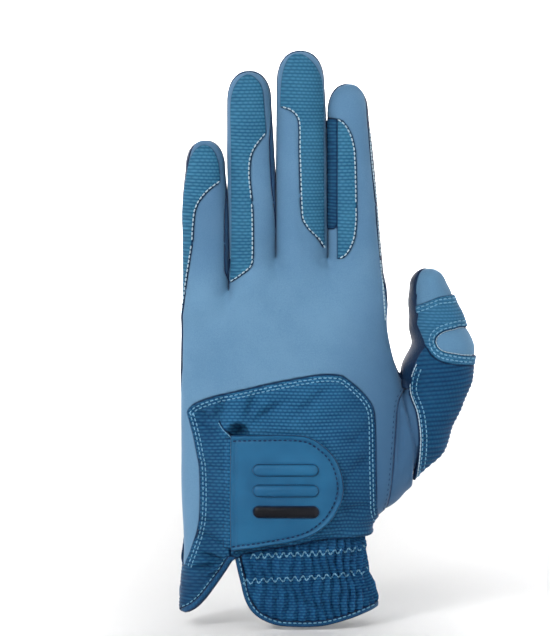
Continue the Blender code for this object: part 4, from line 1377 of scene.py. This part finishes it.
def make_finger(name):
    finger = FINGERS[name]
    low, split = finger["start"], finger["split"]
    above_low, above_split = (lambda v: v[:, 2] - low), (lambda v: v[:, 2] - split)
    quiet = (above_low, above_split)
    left, right = FINGER_LIMITS[name]

    def within_limits(v):
        """Between the neighbours, which only meet this finger near its root."""
        return np.minimum(v[:, 0] - left, right - v[:, 0]) + FAR * step_between(low + 5, low + 8, v[:, 2])

    sheet, _ = divide(finger_sheet(name), above_low)
    sheet, _ = divide(sheet, within_limits)
    right_half = lambda v: v[:, 0] - curve_through(finger["z"], finger["x"], v[:, 2])
    strips, sheet = divide(sheet, side_strips(name))
    back, palm = divide(sheet, lambda v: back_edge(v) - v[:, 1])
    inlay, plain = divide(back, in_outline(INLAYS[name]))
    if name == "index":
        fourchette, plain = divide(plain, in_outline(INDEX_STRIP))
        # the fourchette takes the ribbed leather in painted shade
        for half, sheet in zip(("upper", "lower"), divide(fourchette, above_split)):
            make(f"index_fourchette_{half}", sheet, "ribbed_shaded", f"index_{half}", raised(0.35), quiet=quiet)
    for part, piece, look, profile, levels in (
        ("back", plain, "stretch", sunk(0.4, 0.8), ()),
        ("inlay", inlay, "ribbed", raised(LEATHER_LIFT), EDGE_ROWS),
        ("front", palm, "palm", raised(0.15), ()),
    ):
        for half, sheet in zip(("lower", "upper"), divide(piece, above_split)[::-1]):
            make(f"{name}_{part}_{half}", sheet, look, f"{name}_{half}", profile,
                 finger_node(name, part, half), quiet=quiet, levels=levels)  # fmt: skip
    for half, strip in zip(("lower", "upper"), divide(strips, above_split)[::-1]):
        over_tip = half == "upper"
        for side, sheet in zip(("right", "left"), divide(strip, right_half)):
            look = OWN_SIDES.get((name, side), "stretch_deep")
            piece = f"{name}_side_over_tip_{side}" if over_tip else f"{name}_side_{side}"
            node = f"{name}_side_over_tip" if over_tip else piece
            edges = (*quiet, right_half) if over_tip else quiet
            make(piece, sheet, look, f"{name}_{half}", sunk(0.12), node, quiet=edges)


def finger_node(name, part, half):
    """The CAD node that a part of a finger stands for."""
    if part == "front":
        return f"{name}_front_{half}"
    if name == "little" or half == "upper":
        return f"{name}_back_{half}"
    left = (part == "inlay") == INLAY_LEFT[name]
    return f"{name}_back_lower_{'left' if left else 'right'}"


def side_strips(name):
    """A strip along both sides and over the tip, next to the seam with the palm."""
    palm_left, palm_right = name == "little", name == "index"

    def rule(v):
        finger = FINGERS[name]
        past = v[:, 0] - curve_through(finger["z"], finger["x"], v[:, 2])
        from_seam = back_edge(v) - v[:, 1]
        right = step_between(-3, 3, past)
        wide_left, wide_right = (WIDE_STRIPS.get((name, side), STRIP) for side in ("left", "right"))
        width = wide_left * (1 - right) + wide_right * right
        wide = step_between(finger["start"], finger["start"] + STRIP_GROWS[name], v[:, 2])
        wide = wide * step_between(finger["tip"] - 10, finger["tip"] - 32, v[:, 2])
        width = STRIP + np.maximum(width - STRIP - 1.6 * curl_of(v[:, 2]), 0) * wide
        palm_side = np.zeros(len(v))  # 1 where the strip lies on the palm's side of the seam
        if palm_left or palm_right:
            palm_side = step_between(-2, 2, past if palm_right else -past)
        centre = width / 2 - width * palm_side
        return width / 2 - np.abs(from_seam - centre)

    return rule


for finger_name in FINGERS:
    make_finger(finger_name)

# ---------------------------------------------------------------- the tab

STRAP_END, STRAP_INSET, STRAP_ROOT = 24.5, 1.0, -18.0
TAB_TOP = 4.0  # above the skin
HINGE_STRIP = (-23.8, -18.8, 32.6, 78.8)  # left, right, low and high


def refined(sheet):
    """Every triangle in four."""
    t, count = sheet.t, len(sheet.v)
    pairs = np.sort(edges_of(t), axis=1)
    key, index = np.unique(pairs[:, 0] * count + pairs[:, 1], return_inverse=True)
    a, b = key // count, key % count
    middle, normal = (sheet.v[a] + sheet.v[b]) / 2, unit(sheet.n[a] + sheet.n[b])
    m = (index + count).reshape(3, -1).T
    made = [np.stack([t[:, i], m[:, i], m[:, i - 1]], 1) for i in range(3)] + [m]
    return Sheet(np.vstack([sheet.v, middle]), np.vstack(made), np.vstack([sheet.n, normal]))


def smoothed(sheet, rounds=25):
    """A sheet without the skin's small dents."""
    t = sheet.t
    v, edge = sheet.v.copy(), np.zeros(len(sheet.v), bool)
    edge[rim_of(sheet)] = True
    pairs = edges_of(t)
    pairs = np.vstack([pairs, pairs[:, ::-1]])
    number = np.bincount(pairs[:, 0], minlength=len(v))[:, None]
    for _ in range(rounds):
        total = np.zeros_like(v)
        np.add.at(total, pairs[:, 0], v[pairs[:, 1]])
        v = np.where(edge[:, None], v, total / number)
    return Sheet(v, t)


tab_area = [[(-30, 84), (32, 84)], [(32, 84), (32, 26)], [(32, 26), (-30, 26)], [(-30, 26), (-30, 84)]]
tab_base, _ = divide(hand_back, in_outline(tab_area))
tab_base = refined(smoothed(tab_base))
tab_sheet, _ = divide(tab_base, in_outline(TAB_OUTLINE))


def in_strap(v):
    """A little inside the cover's edge, which it reaches only at its root."""
    inset = edge_distance(tab_sheet) - STRAP_INSET + FAR * (v[:, 0] < STRAP_ROOT)
    return np.minimum(STRAP_END - v[:, 0], inset)


strap_sheet, _ = divide(tab_sheet, in_strap)


def layer(name, sheet, look, region, low, high, edge, slot=None, extra=None):
    """A layer with rounded edges that lies from low to high above the back's surface."""
    profile = lambda d: high - edge + edge * rounded(d, edge)
    make(name, sheet, look, region, profile, name, slot=slot, inner=low, levels=(edge * 0.3, edge), extra=extra)


def bead(v, d):
    """The moulded rim of the rubber cover, and the groove that its stitches lie in."""
    return 0.35 * bell(d - 0.9, 0.5) - 0.35 * bell(d - 2.1, 0.45)


layer("tab_cover", tab_sheet, "rubber", "tab", 2.9, TAB_TOP, 0.8, extra=bead)
layer("tab_strap", strap_sheet, "palm", "tab", 2.1, 2.7, 0.3, slot="ribbed_leather")


def hinge_rise(v, d):
    """The strip that hinges the tab rises from the wrist panel to the strap."""
    return 0.1 + 2.7 * step_between(HINGE_STRIP[0], HINGE_STRIP[1] - 1.6, v[:, 0])


hinge_sheet, _ = divide(tab_base, in_box(*HINGE_STRIP))
make("tab_hinge_strip", hinge_sheet, "ribbed_wrist", "tab_root", raised(0.4), inner=9.0,
     extra=hinge_rise)  # fmt: skip


def patch_outline(low_x, high_x, low_z, high_z, corner=3.0):
    """A rounded rectangle."""
    points = []
    for cx, cz, turn in ((high_x, high_z, 0), (low_x, high_z, 90), (low_x, low_z, 180), (high_x, low_z, 270)):
        sx, sz = (1 if cx == high_x else -1), (1 if cz == high_z else -1)
        for i in range(7):
            angle = math.radians(turn + i * 15)
            x, z = cx + corner * (math.cos(angle) - sx), cz + corner * (math.sin(angle) - sz)
            points.append((x, z))
    return np.array(points)


def in_patch(*sizes):
    line = patch_outline(*sizes)
    return lambda v: inside_distance(front(v), line)


loop_sheet, _ = divide(tab_base, in_patch(-12, 17, 41, 74))
layer("loop_patch", loop_sheet, "pile", "hand", 0.35, 1.15, 0.4)
layer("hook_patch", loop_sheet, "hooks", "tab", 1.25, 1.95, 0.4)

# Three rounded ribs to grip the tab by; the lowest is dark.
RIB_CENTRE = (2.4, 57.1)
RIB_LENGTH, RIB_HEIGHT, RIB_PITCH, RIB_RISE = 27.0, 5.2, 8.6, 1.5


def in_rib(place):
    z = RIB_CENTRE[1] + place * RIB_PITCH
    half = RIB_LENGTH / 2 - RIB_HEIGHT / 2

    def rule(v):
        along = np.maximum(np.abs(v[:, 0] - RIB_CENTRE[0]) - half, 0)
        return RIB_HEIGHT / 2 - np.hypot(along, v[:, 2] - z)

    return rule


for place, rib in ((1, "top"), (0, "middle"), (-1, "dark")):
    rib_sheet, _ = divide(tab_sheet, in_rib(place))
    make(f"grip_rib_{rib}", rib_sheet, "dark_rubber" if rib == "dark" else "rubber", "tab",
         lambda d: TAB_TOP + RIB_RISE * rounded(d, 2.2), f"grip_rib_{rib}",
         inner=3.8, levels=(0.2, 0.7))  # fmt: skip

# ---------------------------------------------------------------- surfaces to lay thread on


def surface_tree(*names):
    """A tree of the outer faces of finished pieces, in millimetres."""
    vertices, faces, base = [], [], 0
    for name in names:
        if name not in PIECES:
            continue
        mesh = PIECES[name].data
        co = np.zeros(len(mesh.vertices) * 3, np.float32)
        mesh.vertices.foreach_get("co", co)
        vertices += [tuple(p) for p in (co.reshape(-1, 3) / MM).tolist()]
        faces += [tuple(i + base for i in poly.vertices) for poly in mesh.polygons]
        base += len(mesh.vertices)
    return BVHTree.FromPolygons(vertices, faces)


def land(tree, points, side=-1):
    """Drops (x, z) points onto a surface from the front (side -1) or the back. Returns places and normals."""
    places, normals = [], []
    for x, z in points:
        hit, normal, _, _ = tree.ray_cast(Vector((x, side * 60.0, z)), Vector((0, -side, 0)))
        if hit is None:
            places.append(None)
            normals.append(None)
        else:
            places.append(np.array(hit))
            normals.append(np.array(normal))
    return places, normals


def evenly(line, pitch):
    """Points each pitch along a polyline."""
    line = np.array(line, float)
    gaps = np.linalg.norm(np.diff(line, axis=0), axis=1)
    total = np.concatenate([[0], np.cumsum(gaps)])
    at = np.arange(pitch / 2, total[-1], pitch)
    return np.stack([np.interp(at, total, line[:, i]) for i in range(line.shape[1])], 1)


def moved_in(line, distance):
    """A line of (x, z) shifted to its left by a distance."""
    tangent = unit(np.gradient(line, axis=0))
    return line + distance * np.stack([-tangent[:, 1], tangent[:, 0]], 1)


STITCH_PROFILE = ((0.0, 0.35), (0.14, 0.85), (0.5, 1.0), (0.86, 0.85), (1.0, 0.35))  # share of length, size
STITCH_SIDES = 8
LONGEST_STITCH = 4.0  # a longer one has jumped over a gap


class Threads:
    """All the stitches of one region and colour."""

    def __init__(self):
        self.vertices, self.quads, self.count = [], [], 0

    def stitch(self, a, b, out, radius):
        """A rounded dash from a to b, lying on a surface that faces out."""
        along = b - a
        length = np.linalg.norm(along)
        if length < 0.05 or length > LONGEST_STITCH:
            return
        along = along / length
        side = np.cross(along, out)
        side /= max(np.linalg.norm(side), 1e-9)
        up = np.cross(side, along)
        angles = np.linspace(0, 2 * math.pi, STITCH_SIDES, endpoint=False)
        for share, size in STITCH_PROFILE:
            arch = math.sin(math.pi * share) * radius * 0.6
            centre = a + along * (share * length) + up * arch
            for angle in angles:
                ring = math.cos(angle) * side + 0.8 * math.sin(angle) * up
                self.vertices.append(centre + ring * radius * size)
        base = self.count
        for first in range(base, base + 32, 8):
            for j in range(8):
                k = (j + 1) % 8
                self.quads.append((first + j, first + k, first + 8 + k, first + 8 + j))
        start_cap = ((3, 2, 1, 0), (0, 7, 4, 3), (7, 6, 5, 4))
        end_cap = ((0, 1, 2, 3), (3, 4, 7, 0), (4, 5, 6, 7))
        for first, caps in ((base, start_cap), (base + 32, end_cap)):
            self.quads += [tuple(first + j for j in cap) for cap in caps]
        self.count += 40

    def row(self, tree, line, pitch=2.0, length=1.4, radius=0.27, side=-1, keep=None, slant=0.25):
        """Stitches along an (x, z) line."""
        half = length / 2
        middles = evenly(line, pitch)
        if keep is not None:
            middles = middles[keep(middles)]
        if len(middles) < 2:
            return
        ways = unit(np.gradient(middles, axis=0))
        starts_at, out = land(tree, middles - ways * half, side)
        ends_at, _ = land(tree, middles + ways * half, side)
        for a, b, n in zip(starts_at, ends_at, out):
            if a is not None and b is not None and n is not None and abs(n[1]) > slant:
                self.stitch(a, b, n, radius)

    def build(self, name, look, region):
        if self.count:
            no_triangles = np.zeros((0, 3), int)
            obj = build_object(name, np.array(self.vertices), no_triangles, np.array(self.quads), LOOKS[look])
            attach(obj, region, SLOT_OF[look])


def sew(name, look, region, tree, lines, **kind):
    """A piece of stitches, all of one kind, along several lines."""
    rows = Threads()
    for line in lines:
        rows.row(tree, line, **kind)
    rows.build(name, look, region)


ROWS = (1.3, 2.6)  # how far in from its edge each row of a double seam lies

hand_tree = surface_tree("wrist_panel_left", "wrist_panel_right", "back_panel", "thumb_gusset", "cuff_back",
                         "thumb_back_lower", "palm_panel", "ring_inlay_root", "little_inlay_root",
                         "hem_binding_cuff", "hem_binding_flap")  # fmt: skip
pale = Threads()
left_edge = smooth_line(WRIST_OUTLINE[5])
right_run = np.vstack([smooth_line(WRIST_OUTLINE[0]), smooth_line(WRIST_OUTLINE[1])[1:]])
for inset in ROWS:
    pale.row(hand_tree, moved_in(right_run, -inset), pitch=2.1)
    pale.row(hand_tree, moved_in(left_edge, -inset), pitch=2.1)
slit_line = smooth_line(SLIT)
slit_line = slit_line[slit_line[:, 1] < SLIT_TOP]
pale.row(hand_tree, moved_in(slit_line, 0.5), pitch=1.5, length=1.5, radius=0.2, keep=lambda p: p[:, 1] > 77)
pale.row(hand_tree, moved_in(smooth_line(WRIST_OUTLINE[3]), -2.9), pitch=2.1)
pale.row(hand_tree, moved_in(smooth_line(CUFF_OUTLINE[0]), 1.7), pitch=2.1)
pale.build("stitches_back", "thread", "hand")

# Seams beside the inlays, over the hand and both parts of each finger.
SEAMS = {"little": LITTLE_INLAY[0], "ring": RING_INLAY[1], "middle": MIDDLE_INLAY[1], "index": INDEX_INLAY[0]}
INDEX_EDGE = [(36.9, 213.0), (38.2, 194.0), (40.2, 177.0), (41.4, 160.0), (42.6, 146.0), (43.4, 135.0),
              (44.0, 127.0)]


def finger_tree(name, half):
    """The outer faces of one half of a finger."""
    strips = "side_over_tip" if half == "upper" else "side"
    return surface_tree(*(f"{name}_{part}_{half}" for part in ("back", "inlay", "front")),
                        *(f"{name}_{strips}_{side}" for side in ("left", "right")))  # fmt: skip


def finger_seams(name):
    start, split = FINGERS[name]["start"], FINGERS[name]["split"]
    parts = (
        ("hand", hand_tree, lambda p: p[:, 1] < start),
        (f"{name}_lower", finger_tree(name, "lower"), lambda p: (p[:, 1] >= start) & (p[:, 1] < split)),
        (f"{name}_upper", finger_tree(name, "upper"), lambda p: p[:, 1] >= split),
    )
    for region, tree, keep in parts:
        sew(f"seam_{name}_{region}", "white_thread", region, tree, [moved_in(smooth_line(SEAMS[name]), -0.4)],
            pitch=1.95, length=1.45, radius=0.31, keep=keep)  # fmt: skip
        if name == "index":
            sew(f"edge_{name}_{region}", "white_thread", region, tree, [smooth_line(INDEX_EDGE)],
                pitch=1.6, length=1.4, radius=0.34, keep=keep, slant=0.05)  # fmt: skip


for finger_name in FINGERS:
    finger_seams(finger_name)

ZIGZAGS = (((-12.5, 29.3), (36.5, 31.4)), ((-15.5, 18.8), (38.0, 21.8)))
ZIGZAG_TEETH, ZIGZAG_RISE = 17, 1.2
zigzag = Threads()
for (x0, z0), (x1, z1) in ZIGZAGS:
    step = (x1 - x0) / (ZIGZAG_TEETH - 1) / 2
    for i in range(ZIGZAG_TEETH):
        x, z = x0 + (x1 - x0) * i / (ZIGZAG_TEETH - 1), z0 + (z1 - z0) * i / (ZIGZAG_TEETH - 1)
        for dx, rise in ((0, ZIGZAG_RISE), (step, -ZIGZAG_RISE)):
            leg = np.array([(x + dx, z - rise), (x + dx + step, z + rise)])
            size = np.linalg.norm(leg[1] - leg[0])
            zigzag.row(hand_tree, leg, pitch=size * 0.49, length=size * 0.42, radius=0.34)
zigzag.build("stitches_cuff", "thread", "hand")

seam_line = smooth_line(THUMB_SEAM)
sew("stitches_thumb", "thread", "thumb_base", hand_tree, [moved_in(seam_line, inset) for inset in (1.3, 3.0)],
    pitch=2.0, keep=lambda p: p[:, 1] < 107)  # fmt: skip
sew("piping_thumb", "white_thread", "thumb_base", hand_tree, [moved_in(seam_line, 0.5)],
    pitch=1.5, length=1.5, radius=0.25, keep=lambda p: p[:, 1] < 109, slant=0.1)  # fmt: skip
sew("stitches_gusset", "dark_thread", "hand", hand_tree, [moved_in(smooth_line(GUSSET_SEAM), -1.4)],
    pitch=2.2, length=1.1, radius=0.16)  # fmt: skip

thumb_tree = surface_tree("thumb_strap", "thumb_knuckle_patch", "thumb_tip_cap", "thumb_back_lower",
                          "thumb_back_middle")  # fmt: skip
cap_line, patch_line = smooth_line(THUMB_CAP_LINE), smooth_line(KNUCKLE_PATCH[0])
sew("stitches_thumb_strap", "thread", "thumb_tip", thumb_tree,
    [line for inset in (1.0, 2.6) for line in (cap_line - (0, inset), moved_in(patch_line, -inset))],
    pitch=2.0)  # fmt: skip
sew("piping_thumb_patch", "white_thread", "thumb_tip", thumb_tree, [moved_in(patch_line, 0.2)],
    pitch=1.4, length=1.4, radius=0.22)  # fmt: skip
tab_line = moved_in(smooth_line(TAB_OUTLINE[0]), -2.1)
sew("stitches_tab", "dark_thread", "tab", surface_tree("tab_cover"), [tab_line],
    pitch=2.1, length=1.4, radius=0.36)  # fmt: skip

# ---------------------------------------------------------------- stage, light and camera

FLOOR_END, COVE_START, COVE, WALL_TOP = 1.2, 2.2, 0.9, 4.5
DROP = 0.0015  # the floor lies this far below the glove, so that they never touch
FRAME_HEIGHT = 0.267  # metres, like all of the stage
DISTANCE = 1.5
ELEVATION = math.radians(4.5)
AIM = Vector((-0.0021, 0.0, 0.1277))
SENSOR = 24.0
# the grey at the middle of the painted shadow on the floor, and the white elsewhere
FLOOR_SHADOW_GREY, WALL_WHITE = 0.70, 0.95
SHADOW_PATCH_REACH = (0.125, 1.5)  # how far the painted shadow on the floor reaches sideways and in depth


def paper():
    """White paper, with a painted grey shadow on the floor round the glove."""
    material = bpy.data.materials.new("white_paper")
    material.use_nodes = True
    nodes, links = material.node_tree.nodes, material.node_tree.links
    kinds = ("NewGeometry", "VectorMath", "VectorMath", "MapRange")
    place, scale, away, painted_shade = (nodes.new(f"ShaderNode{kind}") for kind in kinds)
    scale.operation, away.operation = "MULTIPLY", "LENGTH"
    scale.inputs[1].default_value = (1 / SHADOW_PATCH_REACH[0], 1 / SHADOW_PATCH_REACH[1], 1.0)
    painted_shade.interpolation_type = "SMOOTHSTEP"
    painted_shade.inputs["From Min"].default_value = 0.25
    painted_shade.inputs["To Min"].default_value, painted_shade.inputs["To Max"].default_value = FLOOR_SHADOW_GREY, WALL_WHITE
    links.new(place.outputs["Position"], scale.inputs[0])
    links.new(scale.outputs["Vector"], away.inputs[0])
    links.new(away.outputs["Value"], painted_shade.inputs["Value"])
    shader = nodes["Principled BSDF"]
    links.new(painted_shade.outputs["Result"], shader.inputs["Base Color"])
    shader.inputs["Roughness"].default_value = 0.9
    shader.inputs["Specular IOR Level"].default_value = 0.1
    return material


def studio():
    """A white floor that curves up into a white wall all round."""
    profile = [(0.0, -DROP), (FLOOR_END, -DROP)]
    for a in np.linspace(0.0, math.pi / 2, 10):
        profile.append((COVE_START + COVE * math.sin(a), COVE - COVE * math.cos(a)))
    profile.append((COVE_START + COVE, WALL_TOP))
    around = 64
    turns = [2 * math.pi * i / around for i in range(around)]
    vertices = [(r * math.cos(a), r * math.sin(a), z - DROP * (r >= COVE_START)) for r, z in profile for a in turns]
    faces = []
    for first in range(0, (len(profile) - 1) * around, around):
        for i in range(around):
            j = (i + 1) % around
            faces.append([first + i, first + j, first + around + j, first + around + i])
    mesh = bpy.data.meshes.new("backdrop")
    mesh.from_pydata(vertices, [], faces)
    mesh.polygons.foreach_set("use_smooth", np.ones(len(faces), bool))
    backdrop = bpy.data.objects.new("backdrop", mesh)
    bpy.context.scene.collection.objects.link(backdrop)
    mesh.materials.append(paper())


def area_light(name, place, size, power, toward=AIM):
    data = bpy.data.lights.new(name, "AREA")
    data.shape, data.size, data.energy = "DISK", size, power
    light = bpy.data.objects.new(name, data)
    light.location = place
    light.rotation_euler = (Vector(toward) - Vector(place)).to_track_quat("-Z", "Y").to_euler()
    bpy.context.scene.collection.objects.link(light)


def camera():
    data = bpy.data.cameras.new("camera")
    data.sensor_fit = "VERTICAL"
    data.sensor_height = SENSOR
    data.lens = SENSOR * DISTANCE / FRAME_HEIGHT
    eye = bpy.data.objects.new("camera", data)
    eye.location = AIM + Vector((0, -math.cos(ELEVATION), math.sin(ELEVATION))) * DISTANCE
    eye.rotation_euler = (AIM - eye.location).to_track_quat("-Z", "Y").to_euler()
    bpy.context.scene.collection.objects.link(eye)
    bpy.context.scene.camera = eye


def world_light(strength):
    world = bpy.data.worlds.new("studio")
    world.use_nodes = True
    background = world.node_tree.nodes["Background"]
    background.inputs["Color"].default_value = (1.0, 1.0, 1.0, 1.0)
    background.inputs["Strength"].default_value = strength
    bpy.context.scene.world = world


studio()
world_light(0.37)
area_light("key", (-0.85, -1.15, 0.95), 0.62, 13.8)
area_light("fill", (1.1, -1.0, 0.3), 0.9, 2.5)
area_light("wall_left", (-0.9, 1.1, 0.5), 0.8, 80, toward=(-0.5, 3.0, 0.6))
area_light("wall_right", (0.9, 1.1, 0.5), 0.8, 80, toward=(0.5, 3.0, 0.6))
camera()
bpy.context.scene.view_settings.view_transform = "Standard"
